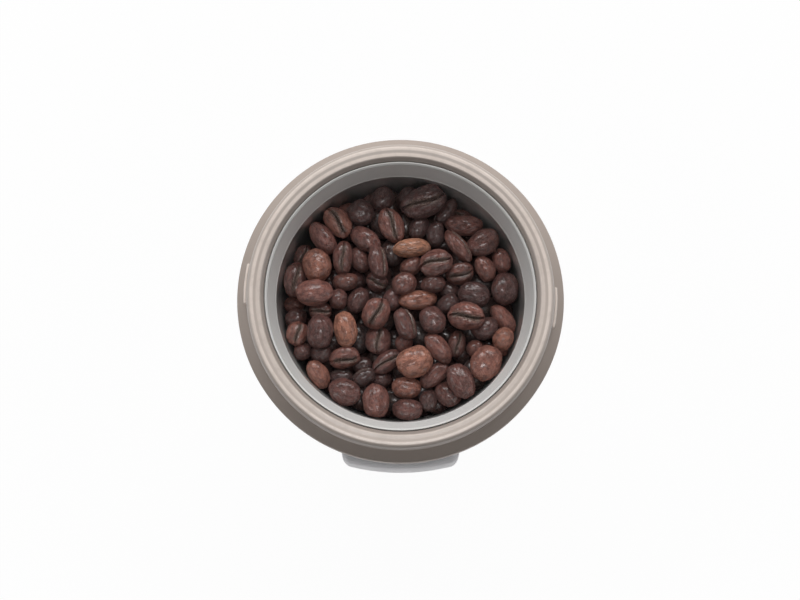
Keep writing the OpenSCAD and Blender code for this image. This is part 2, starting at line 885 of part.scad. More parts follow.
module cord_gland() {
    color(black) difference() {
        union() {
            front_pin(0, inlet_z, gland_r, gland_in_y, gland_mouth_y);
            translate([0, gland_foot_y, inlet_z]) rotate([-90, 0, 0]) rotate_extrude() polygon([
                [0, 0],
                [gland_flange_r, 0],
                [gland_flange_r, gland_rim_t],
                [gland_r + gland_shoulder, gland_flange_t],
                [0, gland_flange_t]
            ]);
        }
        front_pin(0, inlet_z, inlet_r, gland_in_y - over, gland_mouth_y + over);
    }
}

module gland_nut() {
    color(grey) difference() {
        translate([0, nut_y, inlet_z]) rotate([-90, 0, 0])
            cylinder(r = gland_r + nut_wall, h = nut_t, $fn = 6);
        front_pin(0, inlet_z, gland_r + thread_gap, nut_y - over, nut_y + nut_t + over);
    }
}

module blade() {
    tip_rise = (blade_r - blade_flat) * tan(blade_bend);
    color(steel) difference() {
        union() {
            translate([0, 0, blade_z]) cylinder(r = blade_hub_r, h = blade_t);
            for (a = [0, 180]) rotate([0, 0, a]) translate([0, 0, blade_z]) intersection() {
                rotate([90, 0, 0]) translate([0, 0, -blade_w]) linear_extrude(2 * blade_w) polygon([
                    [0, 0], [blade_flat, 0],
                    [blade_r, tip_rise], [blade_r, tip_rise + blade_t / cos(blade_bend)],
                    [blade_flat - blade_t * tan(blade_bend / 2), blade_t], [0, blade_t]
                ]);
                linear_extrude(blade_r) polygon([
                    [0, -blade_w / 2], [blade_r - blade_heel, -blade_w / 2],
                    [blade_r - blade_nose, -blade_nose_y], [blade_r - blade_toe, blade_w / 2 - blade_toe_w],
                    [blade_flat, blade_w / 2 - blade_hone], [0, blade_w / 2]
                ]);
            }
        }
        bore(stud_r + stud_play, blade_z, blade_z + blade_t);
    }
}

module blade_spacer() {
    color(brass) translate([0, 0, spacer_z]) tube(spacer_r, shaft_r + screw_grip, blade_z - spacer_z);
}

module blade_nut() {
    color(steel) translate([0, 0, blade_z + blade_t]) difference() {
        union() {
            cylinder(r = nut_r, h = nut_h - nut_dome_h, $fn = 6);
            intersection() {
                translate([0, 0, -nut_cap_t]) sphere(r = nut_h + nut_cap_t);
                cylinder(r = nut_r * nut_dome, h = nut_h);
            }
        }
        blind_bore(stud_r + screw_grip, 0, nut_h - nut_cap_t);
    }
}

module shaft_seal() {
    color(black) difference() {
        union() {
            translate([0, 0, under_bowl_z - seal_h]) cylinder(r = seal_r, h = seal_h - seal_play);
            translate([0, 0, under_bowl_z - seal_neck])
                cylinder(r = bowl_hole_d / 2 - seal_play, h = bowl_t + 2 * seal_neck);
            translate([0, 0, floor_z + flange_gap])
                cylinder(r = seal_flange_r, h = seal_flange_h - flange_gap);
        }
        bore(shaft_r + seal_lip_gap, under_bowl_z - seal_h, floor_z + seal_flange_h);
    }
}

module motor_shaft() {
    color(steel) {
        translate([0, 0, shaft_z]) cylinder(r = shaft_r, h = blade_z - shaft_z);
        translate([0, 0, blade_z - eps]) cylinder(r = stud_r, h = stud_top_z - blade_z);
    }
}

module rotor_core() {
    color(lamination) translate([0, 0, stack_z]) difference() {
        cylinder(r = rotor_r, h = stack_h);
        bore(shaft_r + screw_grip, 0, stack_h);
        for (i = [0:rotor_slots - 1]) rotate([0, 0, 360 * (i + 0.5) / rotor_slots])
            translate([rotor_r - slot_depth, -slot_w / 2, -over])
                cube([slot_depth + over, slot_w, stack_h + 2 * over]);
    }
}

module rotor_windings() {
    bar_w = slot_w - 2 * winding_gap;
    lower_h = stack_z - winding_gap - commutator_z - commutator_h - riser_h - winding_gap;
    color(copper) {
        for (i = [0:rotor_slots - 1]) rotate([0, 0, 360 * (i + 0.5) / rotor_slots])
            translate([rotor_r - slot_depth + winding_gap, -bar_w / 2, stack_z - winding_over])
                cube([slot_depth - 1, bar_w, stack_h + 2 * winding_over]);
        translate([0, 0, stack_top_z + winding_gap]) end_turns(end_turn_h);
        translate([0, 0, stack_z - winding_gap]) mirror([0, 0, 1]) end_turns(lower_h);
    }
}

// The bundle of wire at one end of the rotor
module end_turns(h) {
    rotate_extrude() polygon([
        [shaft_r + winding_over, 0],
        [rotor_r - end_turn_in, 0],
        [rotor_r - end_turn_in, h * end_turn_side],
        [rotor_r - end_turn_in - end_turn_slope, h],
        [shaft_r + winding_over, h]
    ]);
}

module commutator() {
    color(copper) translate([0, 0, commutator_z]) difference() {
        union() {
            cylinder(r = commutator_r, h = commutator_h);
            translate([0, 0, commutator_h - eps]) cylinder(r = commutator_r + riser_out, h = riser_h + eps);
        }
        bore(shaft_r + screw_grip, 0, commutator_h + riser_h);
        for (i = [0:commutator_bars - 1]) rotate([0, 0, 360 * i / commutator_bars])
            translate([commutator_r - bar_gap_depth, -bar_gap / 2, -over])
                cube([bar_gap_depth + riser_out + over, bar_gap, commutator_h + riser_h + 2 * over]);
    }
}

module cooling_fan() {
    color(white) translate([0, 0, fan_top_z - fan_h]) difference() {
        union() {
            cylinder(r = fan_hub_r, h = fan_h);
            translate([0, 0, fan_h - fan_plate_t]) cylinder(r = fan_r, h = fan_plate_t);
            for (i = [0:fan_blades - 1]) rotate([0, 0, 360 * i / fan_blades])
                translate([fan_hub_r - 1, -fan_blade_t / 2, 0])
                    cube([fan_r - fan_hub_r, fan_blade_t, fan_h - fan_blade_cut]);
        }
        bore(shaft_r + screw_grip, 0, fan_h);
    }
}

module thrust_washers() {
    color(brass) for (z = [lower_bush_z - end_play - washer_t, upper_bush_z + bush_h + end_play])
        translate([0, 0, z]) tube(washer_r, shaft_r + screw_grip, washer_t);
}

module upper_bush() {
    color(brass) translate([0, 0, upper_bush_z]) tube(bush_r, shaft_r + bush_gap, bush_h);
}

module lower_bush() {
    color(brass) translate([0, 0, lower_bush_z]) tube(bush_r, shaft_r + bush_gap, bush_h);
}

// A motor end frame: plate, bush boss and four posts; z is the plate's foot
module end_frame(z, boss_z, posts_z, posts_h) {
    difference() {
        union() {
            translate([0, 0, z]) linear_extrude(bracket_t) round_rect(stator_w, stator_d, plate_corner);
            translate([0, 0, boss_z - boss_lap]) cylinder(r = bush_r + boss_wall, h = bush_h + 2 * boss_lap);
            corners(bolt_x, bolt_y) translate([0, 0, posts_z]) cylinder(r = post_r, h = posts_h);
            children();
        }
        bore(bush_r + press_gap, boss_z, boss_z + bush_h);
        corners(bolt_x, bolt_y) bore(bolt_hole_r, min(z, posts_z), max(z + bracket_t, posts_z + posts_h));
        for (s = [-1, 1]) translate([s * window_place, 0, z - over])
            linear_extrude(bracket_t + 2 * over) round_rect(window_w, window_d, window_round);
    }
}

module upper_bracket() {
    color(steel) difference() {
        end_frame(upper_plate_z, upper_bush_z, stack_top_z, upper_post_h + eps);
        corners(mount_x, mount_y) bore(screw_r + screw_play, upper_plate_z, mount_z);
    }
}

module lower_bracket() {
    tunnel_w = holder_w + 2 * brush_play;
    tunnel_h = holder_h + 2 * brush_play;
    tower_w = tunnel_w + 2 * tower_wall;
    tower_top_z = brush_z + tunnel_h / 2 + tower_wall;
    tower_z = lower_plate_top_z - eps;
    color(black) difference() {
        end_frame(lower_plate_z, lower_bush_z, tower_z, lower_post_h + eps)
            for (y = [tower_in, -tower_out]) translate([-tower_w / 2, y, tower_z])
                cube([tower_w, tower_out - tower_in, tower_top_z - tower_z]);
        translate([-tunnel_w / 2, -stator_d, brush_z - tunnel_h / 2])
            cube([tunnel_w, 2 * stator_d, tunnel_h]);
    }
}

module stator_core() {
    color(lamination) translate([0, 0, stack_z]) linear_extrude(stack_h) difference() {
        union() {
            difference() {
                round_rect(stator_w, stator_d, plate_corner);
                square([2 * window_x, 2 * window_y], center = true);
            }
            for (s = [-1, 1]) {
                translate([s * (stator_bore_r + 1 + window_x) / 2, 0])
                    square([window_x - stator_bore_r + 1, pole_w], center = true);
                intersection() {
                    circle(r = shoe_r);
                    polygon(concat([[0, 0]],
                        [for (a = [-shoe_half_angle:shoe_half_angle / 4:shoe_half_angle])
                            2 * shoe_r * [s * cos(a), sin(a)]]));
                }
            }
        }
        circle(r = stator_bore_r);
        corners(bolt_x, bolt_y) circle(r = bolt_hole_r);
    }
}

module stator_coils() {
    inner_w = pole_w + 2 * coil_gap;
    inner_h = stack_h + 2 * coil_gap;
    outer_w = inner_w + 2 * coil_w;
    outer_h = inner_h + 2 * end_turn_h - 1;
    coil_x = shoe_r + coil_gap;
    color(copper) for (s = [0, 180]) rotate([0, 0, s])
        translate([coil_x, 0, stack_z + stack_h / 2]) rotate([90, 0, 90])
            linear_extrude(window_x - coil_gap - coil_x) difference() {
                round_rect(outer_w, outer_h, coil_round);
                square([inner_w, inner_h], center = true);
            }
}

module brush_holders() {
    room_w = brush_w + 2 * brush_play;
    room_h = brush_h + 2 * brush_play;
    color(brass) for (s = [0, 180]) rotate([0, 0, s]) translate([0, holder_in, brush_z]) difference() {
        translate([-holder_w / 2, 0, -holder_h / 2]) cube([holder_w, holder_l, holder_h]);
        translate([-room_w / 2, -over, -room_h / 2]) cube([room_w, holder_l - holder_end_t + over, room_h]);
    }
}

module carbon_brushes() {
    brush_in = commutator_r - 2;
    color(black) for (s = [0, 180]) rotate([0, 0, s]) difference() {
        translate([-brush_w / 2, brush_in, brush_z - brush_h / 2])
            cube([brush_w, brush_back - brush_in, brush_h]);
        cylinder(r = commutator_r + brush_gap, h = body_h);
    }
}

module brush_springs() {
    near_y = brush_back + spring_wire_r + spring_gap;
    far_y = holder_out - holder_end_t - spring_wire_r - spring_gap;
    coil = helix(brush_spring_r, far_y - near_y, brush_spring_turns, spring_steps);
    color(steel) for (s = [0, 180]) rotate([0, 0, s]) translate([0, near_y, brush_z]) rotate([-90, 0, 0])
        sweep(coil, spring_wire_r, spring_sides);
}

module motor_bolts() {
    bolt_end_z = lower_plate_z - bolt_end_l;
    bolt_top_z = upper_plate_z + bracket_t;
    color(steel) corners(bolt_x, bolt_y) {
        translate([0, 0, bolt_end_z]) cylinder(r = bolt_r, h = bolt_top_z - bolt_end_z);
        translate([0, 0, bolt_top_z]) cylinder(r = bolt_head_r, h = bolt_head_h);
        translate([0, 0, lower_plate_z - bolt_head_h]) cylinder(r = bolt_head_r, h = bolt_head_h, $fn = 6);
    }
}

module motor_mounts() {
    color(black) corners(mount_x, mount_y) translate([0, 0, mount_z])
        tube(grommet_r, screw_r + screw_play, grommet_h);
}

module mount_screws() {
    mount_screw_l = bracket_t + grommet_h + mount_bite;
    color(steel) corners(mount_x, mount_y) translate([0, 0, upper_plate_z]) mirror([0, 0, 1])
        screw_down(screw_hole_r - screw_grip, mount_screw_l, screw_head_r, screw_head_h);
}

// The solid form of the press bar's cap, drawn in by a wall thickness
module button_form(inset) {
    intersection() {
        front_block(button_w - 2 * inset, button_h - 2 * inset, max(button_round - inset, button_edge_r),
            face_y - over, inset > 0 ? button_back_y + over : button_back_y);
        translate([0, face_y + inset + button_face_r, 0])
            cylinder(r = button_face_r, h = body_h, $fn = button_fn);
        translate([-ring_r, face_y + inset + button_crown_r, button_z]) rotate([0, 90, 0])
            cylinder(r = button_crown_r, h = ring_d, $fn = button_fn);
    }
}

module start_button() {
    cup_foot_y = face_y + button_t + 1.4;
    color(white) {
        difference() {
            union() {
                button_form(0);
                front_block(button_w + 2 * flange_lap, button_h + 2 * flange_lap, button_round,
                    flange_y, button_back_y);
            }
            button_form(button_t);
        }
        for (s = [-1, 1]) difference() {
            front_pin(s * spring_x, button_z, spring_seat_r, cup_foot_y, spring_seat_y);
            front_pin(s * spring_x, button_z, spring_pocket_r,
                spring_seat_y - spring_cup_depth, spring_seat_y + over);
        }
        translate([rib_x - rib_w / 2, rib_foot_y, button_z - rib_h / 2])
            cube([rib_w, rib_y - rib_foot_y, rib_h]);
    }
}

module button_frame() {
    frame_z0 = button_z - frame_h / 2 - saddle_lap;
    frame_z1 = button_z + frame_h / 2 + saddle_lap;
    saddle_out = shell_t + saddle_gap;
    flange_room_w = button_w + 2 * flange_lap + 2 * slide_gap;
    flange_room_h = button_h + 2 * flange_lap + 2 * slide_gap;
    color(white) difference() {
        union() {
            intersection() {
                front_block(frame_w, frame_h, button_round, wall_y - frame_lead, flange_y - fit_gap);
                taper_solid(-frame_proud, frame_z0, frame_z1);
            }
            intersection() {
                difference() {
                    front_block(frame_w + 2 * saddle_lap, frame_h + 2 * saddle_lap - 1, button_round,
                        wall_y, plate_y - frame_lead);
                    taper_solid(saddle_out + saddle_t, frame_z0 - over, frame_z1 + over);
                }
                taper_solid(saddle_out, frame_z0, frame_z1);
            }
            intersection() {
                for (s = [-1, 1]) {
                    front_pin(s * boss_x, button_z, boss_r, plate_y - boss_l, plate_y);
                    translate([s * (frame_w / 2 - cheek_lap + cheek_t / 2), 0, button_z]) cheek();
                }
                taper_solid(saddle_out, frame_z0, frame_z1);
            }
        }
        front_block(frame_in_w, frame_in_h, button_round + slide_gap,
            wall_y - frame_lead - over, flange_y + over);
        front_block(flange_room_w, flange_room_h, button_round, flange_y - fit_gap, plate_y + over);
        for (s = [-1, 1]) front_pin(s * boss_x, button_z, screw_hole_r, plate_y - boss_l + 1, plate_y + over);
    }
}

// The web that ties a screw boss to the side of the frame, centred in X and Z
module cheek() {
    translate([-cheek_t / 2, flange_y - cheek_lead, -cheek_h / 2])
        cube([cheek_t, plate_y - cheek_back - flange_y + cheek_lead, cheek_h]);
}

module button_springs() {
    near_y = spring_seat_y - spring_cup_depth + spring_end_gap + spring_wire_r;
    far_y = plate_y - spring_end_gap - spring_wire_r;
    coil = helix(spring_r, far_y - near_y, spring_turns, spring_steps);
    color(steel) for (s = [-1, 1]) translate([s * spring_x, near_y, button_z]) rotate([-90, 0, 0])
        sweep(coil, spring_wire_r, spring_sides);
}

module switch_bracket() {
    shelf_z = button_z + switch_t / 2;
    color(grey) difference() {
        union() {
            translate([-plate_w / 2, plate_y, button_z - plate_h / 2]) cube([plate_w, plate_t, plate_h]);
            translate([-switch_w / 2, plate_y - shelf_d, shelf_z]) cube([switch_w, shelf_d + eps, shelf_t]);
            for (s = [-1, 1])
                front_pin(s * spring_x, button_z, spring_post_r, plate_y - spring_post_h, plate_y + eps);
        }
        for (s = [-1, 1]) {
            front_pin(s * boss_x, button_z, screw_r + screw_play, plate_y - over, plate_y + plate_t + over);
            translate([s * hole_x, hole_y, 0]) bore(small_screw_r + pocket_gap, shelf_z, shelf_z + shelf_t);
        }
    }
}

module bracket_screws() {
    color(steel) for (s = [-1, 1]) translate([s * boss_x, plate_y + plate_t, button_z]) rotate([-90, 0, 0])
        screw_down(screw_hole_r - screw_grip, bracket_screw_l, bracket_head_r, small_head_h);
}

module microswitch() {
    color(black) difference() {
        union() {
            translate([-switch_w / 2, switch_y, button_z - switch_t / 2])
                cube([switch_w, switch_d, switch_t]);
            for (z = [lever_ear_z, -lever_ear_z - lever_ear])
                translate([lever_pivot_x - lever_ear, lever_pivot_y - lever_ear_play, button_z + z])
                    cube([2 * lever_ear, lever_ear + lever_ear_play, lever_ear]);
        }
        front_pin(plunger_x, button_z, plunger_r + plunger_gap,
            switch_y - over, switch_y + plunger_l + plunger_room);
        for (s = [-1, 1]) translate([s * hole_x, hole_y, 0])
            bore(small_screw_r + pocket_gap, button_z - switch_t / 2, button_z + switch_t / 2);
        for (x = tab_x)
            translate([x - tab_w / 2 - tab_gap, tab_y - tab_t / 2 - tab_gap, button_z - switch_t / 2 - over])
                cube([tab_w + 2 * tab_gap, tab_t + 2 * tab_gap, over + tab_root + 2 * pocket_gap]);
    }
}

module switch_terminals() {
    color(brass) for (x = tab_x) translate([x - tab_w / 2, tab_y - tab_t / 2, tab_foot_z])
        cube([tab_w, tab_t, tab_l + tab_root]);
}

module switch_screws() {
    color(steel) for (s = [-1, 1]) translate([s * hole_x, hole_y, button_z + switch_t / 2 + shelf_t])
        screw_down(small_screw_r, switch_t + shelf_t, small_head_r, small_head_h);
}

module switch_lever() {
    color(steel) translate([lever_pivot_x, lever_pivot_y, button_z]) rotate([0, 0, -lever_rest]) {
        translate([0, 0, -lever_w / 2]) cylinder(r = lever_eye_r, h = lever_w);
        translate([0, -lever_t / 2, -lever_w / 2]) cube([lever_l, lever_t, lever_w]);
    }
}

module switch_plunger() {
    plunger_end_y = switch_y + plunger_l - button_travel * plunger_share;
    color(red) front_pin(plunger_x, button_z, plunger_r, plunger_y, plunger_end_y);
}

module terminal_block() {
    color(white) rotate([0, 0, block_angle]) translate([stand_place, 0, base_top_z]) difference() {
        translate([-block_d / 2, -block_w / 2, 0]) cube([block_d, block_w, block_h]);
        for (y = [-block_w / 4, block_w / 4]) {
            translate([-block_d, y, block_h / 2]) rotate([0, 90, 0])
                cylinder(r = wire_hole_r, h = 2 * block_d);
            translate([0, y, block_h / 2]) cylinder(r = clamp_hole_r, h = block_h);
        }
    }
}

module capacitor() {
    color(yellow) rotate([0, 0, cap_angle]) translate([stand_place - cap_d / 2, 0, base_top_z + cap_h / 2])
        rotate([90, 0, 90]) linear_extrude(cap_d) round_rect(cap_w, cap_h, cap_round);
}

module thermal_cutout() {
    color(grey) translate([cutout_x, 0, cutout_z + cutout_w / 2]) rotate([90, 0, 90])
        linear_extrude(cutout_t) round_rect(cutout_w, cutout_w, cutout_round);
}

module live_lead() {
    color(brown) sweep(curve(live_route), lead_r, lead_sides);
}

module neutral_lead() {
    color(blue) sweep(curve(neutral_route), lead_r, lead_sides);
}

module motor_leads() {
    color(red) sweep(curve(brush_route), lead_r, lead_sides);
}

collar_ring();
grinding_bowl();
bowl_gasket();
body_shell();
foot_band();
motor_deck();
deck_screws();
base_plate();
base_screws();
rubber_feet();
cord_gland();
gland_nut();
blade();
blade_spacer();
blade_nut();
shaft_seal();
motor_shaft();
rotor_core();
rotor_windings();
commutator();
cooling_fan();
thrust_washers();
upper_bush();
lower_bush();
upper_bracket();
lower_bracket();
stator_core();
stator_coils();
brush_holders();
carbon_brushes();
brush_springs();
motor_bolts();
motor_mounts();
mount_screws();
start_button();
button_frame();
button_springs();
switch_bracket();
bracket_screws();
microswitch();
switch_terminals();
switch_screws();
switch_lever();
switch_plunger();
terminal_block();
capacitor();
thermal_cutout();
live_lead();
neutral_lead();
motor_leads();
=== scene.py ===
"""Visual model of an electric spice grinder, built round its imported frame.

Every object is in metres, in the frame's own axes: +Z up along the motor shaft, and the press bar
facing -Y.
"""

import itertools
import json
import logging
import math
import random
from collections.abc import Callable, Sequence
from dataclasses import dataclass
from enum import Enum

import bmesh
import bpy
import numpy as np
from mathutils import Matrix, Vector, noise


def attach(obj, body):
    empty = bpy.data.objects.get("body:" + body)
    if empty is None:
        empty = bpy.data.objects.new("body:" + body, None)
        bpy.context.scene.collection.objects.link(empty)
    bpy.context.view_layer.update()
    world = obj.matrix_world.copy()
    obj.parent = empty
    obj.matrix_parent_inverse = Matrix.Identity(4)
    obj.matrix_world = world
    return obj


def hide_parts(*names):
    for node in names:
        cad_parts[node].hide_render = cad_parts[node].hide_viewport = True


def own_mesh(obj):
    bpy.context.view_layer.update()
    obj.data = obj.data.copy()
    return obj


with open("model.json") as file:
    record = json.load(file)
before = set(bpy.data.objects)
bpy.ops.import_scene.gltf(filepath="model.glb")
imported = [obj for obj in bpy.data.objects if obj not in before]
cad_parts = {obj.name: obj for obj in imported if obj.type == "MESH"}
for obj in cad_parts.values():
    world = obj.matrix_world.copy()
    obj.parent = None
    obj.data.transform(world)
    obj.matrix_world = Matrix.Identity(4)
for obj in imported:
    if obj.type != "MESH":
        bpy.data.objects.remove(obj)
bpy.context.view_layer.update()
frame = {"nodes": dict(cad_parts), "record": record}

MM = 0.001
log = logging.getLogger("grinder")

Colour = tuple[float, float, float]
Corner = tuple[float, float, float]
Triple = tuple[float, float, float]
Stops = tuple[tuple[float, Colour], ...]

PLAIN_WHITE = (1.0, 1.0, 1.0)
DOUBLED = 1e-6  # points this close, in metres, are one point
CRISP = 35.0  # edges sharper than this, in degrees, stay crisp
WIDEST = 0.2  # a bevel wider than any piece, in metres, which goes as far as there is room
CREASE_WAVE = 0.12  # the sideways wave of a bean's crease, in half widths


# ------------------------ shader bench


def operator(operation: str, swapped: bool = False) -> Callable[["Wire", "Wire | float"], "Wire"]:
    """One of Wire's operators: a Math node on the wire and another term, or on the two swapped."""

    def work(wire: "Wire", term: "Wire | float") -> "Wire":
        """Add the node."""
        return wire.graph.maths(operation, *((term, wire) if swapped else (wire, term)))

    return work


class Wire:
    """An output socket that joins in Python arithmetic; each step adds a Math node."""

    def __init__(self, graph: "Graph", socket: bpy.types.NodeSocket | None) -> None:
        """Keep the graph and the socket."""
        self.graph = graph
        self.socket = socket

    def other(self, name: int | str) -> "Wire":
        """Another output of the same node."""
        return Wire(self.graph, self.socket.node.outputs[name])

    def __abs__(self) -> "Wire":
        """Drop the sign."""
        return self.graph.maths("ABSOLUTE", self)

    __add__ = __radd__ = operator("ADD")
    __sub__, __rsub__ = operator("SUBTRACT"), operator("SUBTRACT", swapped=True)
    __mul__ = __rmul__ = operator("MULTIPLY")
    __pow__, __rpow__ = operator("POWER"), operator("POWER", swapped=True)


class Graph:
    """A node tree that is filled by expressions."""

    def __init__(self, tree: bpy.types.NodeTree) -> None:
        """Keep the tree."""
        self.tree = tree

    def node(
        self,
        kind: str,
        settings: dict[str, object] | None = None,
        inputs: dict[int | str, object] | None = None,
        output: int | str = 0,
    ) -> Wire:
        """Add one node.

        Args:
            kind: The node's type name.
            settings: Its settings; "stops" are a ramp's (place, colour) pairs.
            inputs: Values or wires for its sockets, by number or name.
            output: The socket to hand back.

        Returns:
            The chosen output, which is empty for a node without one.
        """
        made = self.tree.nodes.new(kind)
        for key, value in (settings or {}).items():
            if key == "stops":
                stops = made.color_ramp.elements
                while len(stops) < len(value):
                    stops.new(0.5)
                for stop, (place, colour) in zip(stops, value):
                    stop.position = place
                    stop.color = (*colour, 1.0)
            else:
                setattr(made, key, value)
        for key, value in (inputs or {}).items():
            self.join(value, made.inputs[key])
        return Wire(self, made.outputs[output] if made.outputs else None)

    def join(self, value: object, socket: bpy.types.NodeSocket) -> None:
        """Link a wire to a socket, or set the socket to a value.

        Args:
            value: The wire or value; a colour may leave out its alpha.
            socket: The input socket.
        """
        if isinstance(value, Wire):
            self.tree.links.new(value.socket, socket)
        elif isinstance(value, tuple) and socket.type == "RGBA" and len(value) == 3:
            socket.default_value = (*value, 1.0)
        else:
            socket.default_value = value

    def maths(self, operation: str, *terms: Wire | float) -> Wire:
        """Add a Math node on wires and numbers."""
        return self.node("ShaderNodeMath", {"operation": operation}, dict(enumerate(terms)))

    def place(self) -> Wire:
        """The point of the surface, in the frame's axes."""
        return self.node("ShaderNodeTexCoord", output="Object")

    def split(self, vector: Wire) -> tuple[Wire, Wire, Wire]:
        """The three parts of a vector."""
        x = self.node("ShaderNodeSeparateXYZ", inputs={0: vector})
        return x, x.other(1), x.other(2)

    def polar(self) -> tuple[Wire, Wire]:
        """The surface's distance from the Z axis, and its height."""
        x, y, z = self.split(self.place())
        return (x * x + y * y) ** 0.5, z

    def vector(self, x: Wire | float, y: Wire | float, z: Wire | float) -> Wire:
        """A vector of three parts."""
        return self.node("ShaderNodeCombineXYZ", inputs={0: x, 1: y, 2: z})

    def stretched(self, vector: Wire, *by: float) -> Wire:
        """A vector, each part times a number."""
        return self.node("ShaderNodeVectorMath", {"operation": "MULTIPLY"}, {0: vector, 1: by})

    def noise(self, vector: Wire, scale: float, detail: float = 2.0, rough: float = 0.5) -> Wire:
        """Soft noise from 0 to 1."""
        inputs = {"Vector": vector, "Scale": scale, "Detail": detail, "Roughness": rough}
        return self.node("ShaderNodeTexNoise", inputs=inputs)

    def ramped(
        self, value: Wire, low: float, high: float, start: float = 0.0, end: float = 1.0
    ) -> Wire:
        """A value carried smoothly from one range to another, and held outside it."""
        inputs = {"Value": value, "From Min": low, "From Max": high, "To Min": start, "To Max": end}
        return self.node("ShaderNodeMapRange", {"interpolation_type": "SMOOTHSTEP"}, inputs)

    def mixed(
        self, first: Wire | Colour, second: Wire | Colour, share: Wire, how: str = "MIX"
    ) -> Wire:
        """Two colours mixed by the share of the second."""
        settings = {"data_type": "RGBA", "blend_type": how}
        return self.node("ShaderNodeMix", settings, {0: share, 6: first, 7: second}, 2)

    def shows_white(self) -> Wire:
        """1 for camera, glossy and transmitted rays, which see plain white, and 0 for others."""
        camera = self.node("ShaderNodeLightPath", output="Is Camera Ray")
        shown = camera + camera.other("Is Glossy Ray") + camera.other("Is Transmission Ray")
        return self.maths("MINIMUM", shown, 1.0)


class Surface(Graph):
    """The nodes of one material, round its Principled shader."""

    def __init__(self, name: str, **constants: float | tuple[float, ...]) -> None:
        """Make the material.

        Args:
            name: The material's name.
            constants: Fixed values of the shader's sockets, with _ for each space in their names.
        """
        self.material = bpy.data.materials.new(name)
        self.material.use_nodes = True
        super().__init__(self.material.node_tree)
        self.shader = self.tree.nodes["Principled BSDF"]
        for socket, value in constants.items():
            self.shader.inputs[socket.replace("_", " ")].default_value = value

    def feed(self, socket: str, value: Wire) -> None:
        """Link a wire to one of the shader's sockets."""
        self.join(value, self.shader.inputs[socket])

    def fed(self, socket: str) -> Wire:
        """What feeds one of the shader's sockets so far."""
        return Wire(self, self.shader.inputs[socket].links[0].from_socket)

    def relief(self, height: Wire, depth: float, strength: float) -> None:
        """Raise the surface by a height from 0 to 1, of a depth in metres."""
        inputs = {"Strength": strength, "Distance": depth, "Height": height}
        self.feed("Normal", self.node("ShaderNodeBump", inputs=inputs))


# ------------------------ finishes


@dataclass(frozen=True)
class Finish:
    """How one sort of surface looks. Colours are linear, lengths in metres."""

    name: str

    def material(self) -> bpy.types.Material:
        """The finish's material, made once."""
        return bpy.data.materials.get(self.name) or self.mix().material

    def mix(self) -> Surface:
        """Lay out the material's nodes."""
        raise NotImplementedError


@dataclass(frozen=True)
class Tinted(Finish):
    """A finish round one colour."""

    colour: Colour

    def tint(self, by: float) -> Colour:
        """The colour, lighter or darker by a factor."""
        return tuple(min(1.0, part * by) for part in self.colour)


@dataclass(frozen=True)
class Moulded(Tinted):
    """Moulded plastic or rubber: a faint mottle, a sparked grain and soft handling marks."""

    roughness: float = 0.4
    grain: float = 0.00001
    grain_size: float = 0.0004
    mottle: float = 0.04
    gloss_coat: float = 0.0
    coat_roughness: float = 0.08
    wear: float = 0.12
    specular: float = 0.5

    def mix(self) -> Surface:
        """Lay out the plastic's nodes.

        Returns:
            The material's nodes.
        """
        g = Surface(
            self.name, Coat_Weight=self.gloss_coat, Coat_Roughness=self.coat_roughness,
            Specular_IOR_Level=self.specular,
        )
        place = g.place()
        tone = g.noise(place, 38.0, 3.0) * 0.7 + g.noise(place, 420.0) * 0.3
        g.feed("Base Color", g.mixed(self.tint(1 - self.mottle), self.tint(1 + self.mottle), tone))
        wear_and_sheen = g.noise(g.stretched(place, 1.0, 1.0, 0.35), 150.0, 4.0, 0.65)
        low, high = self.roughness * (1 - self.wear), self.roughness * (1 + self.wear)
        g.feed("Roughness", g.ramped(wear_and_sheen, 0.3, 0.7, low, high))
        g.relief(g.noise(place, 1.0 / self.grain_size, 2.0, 0.6), self.grain, 0.6)
        return g


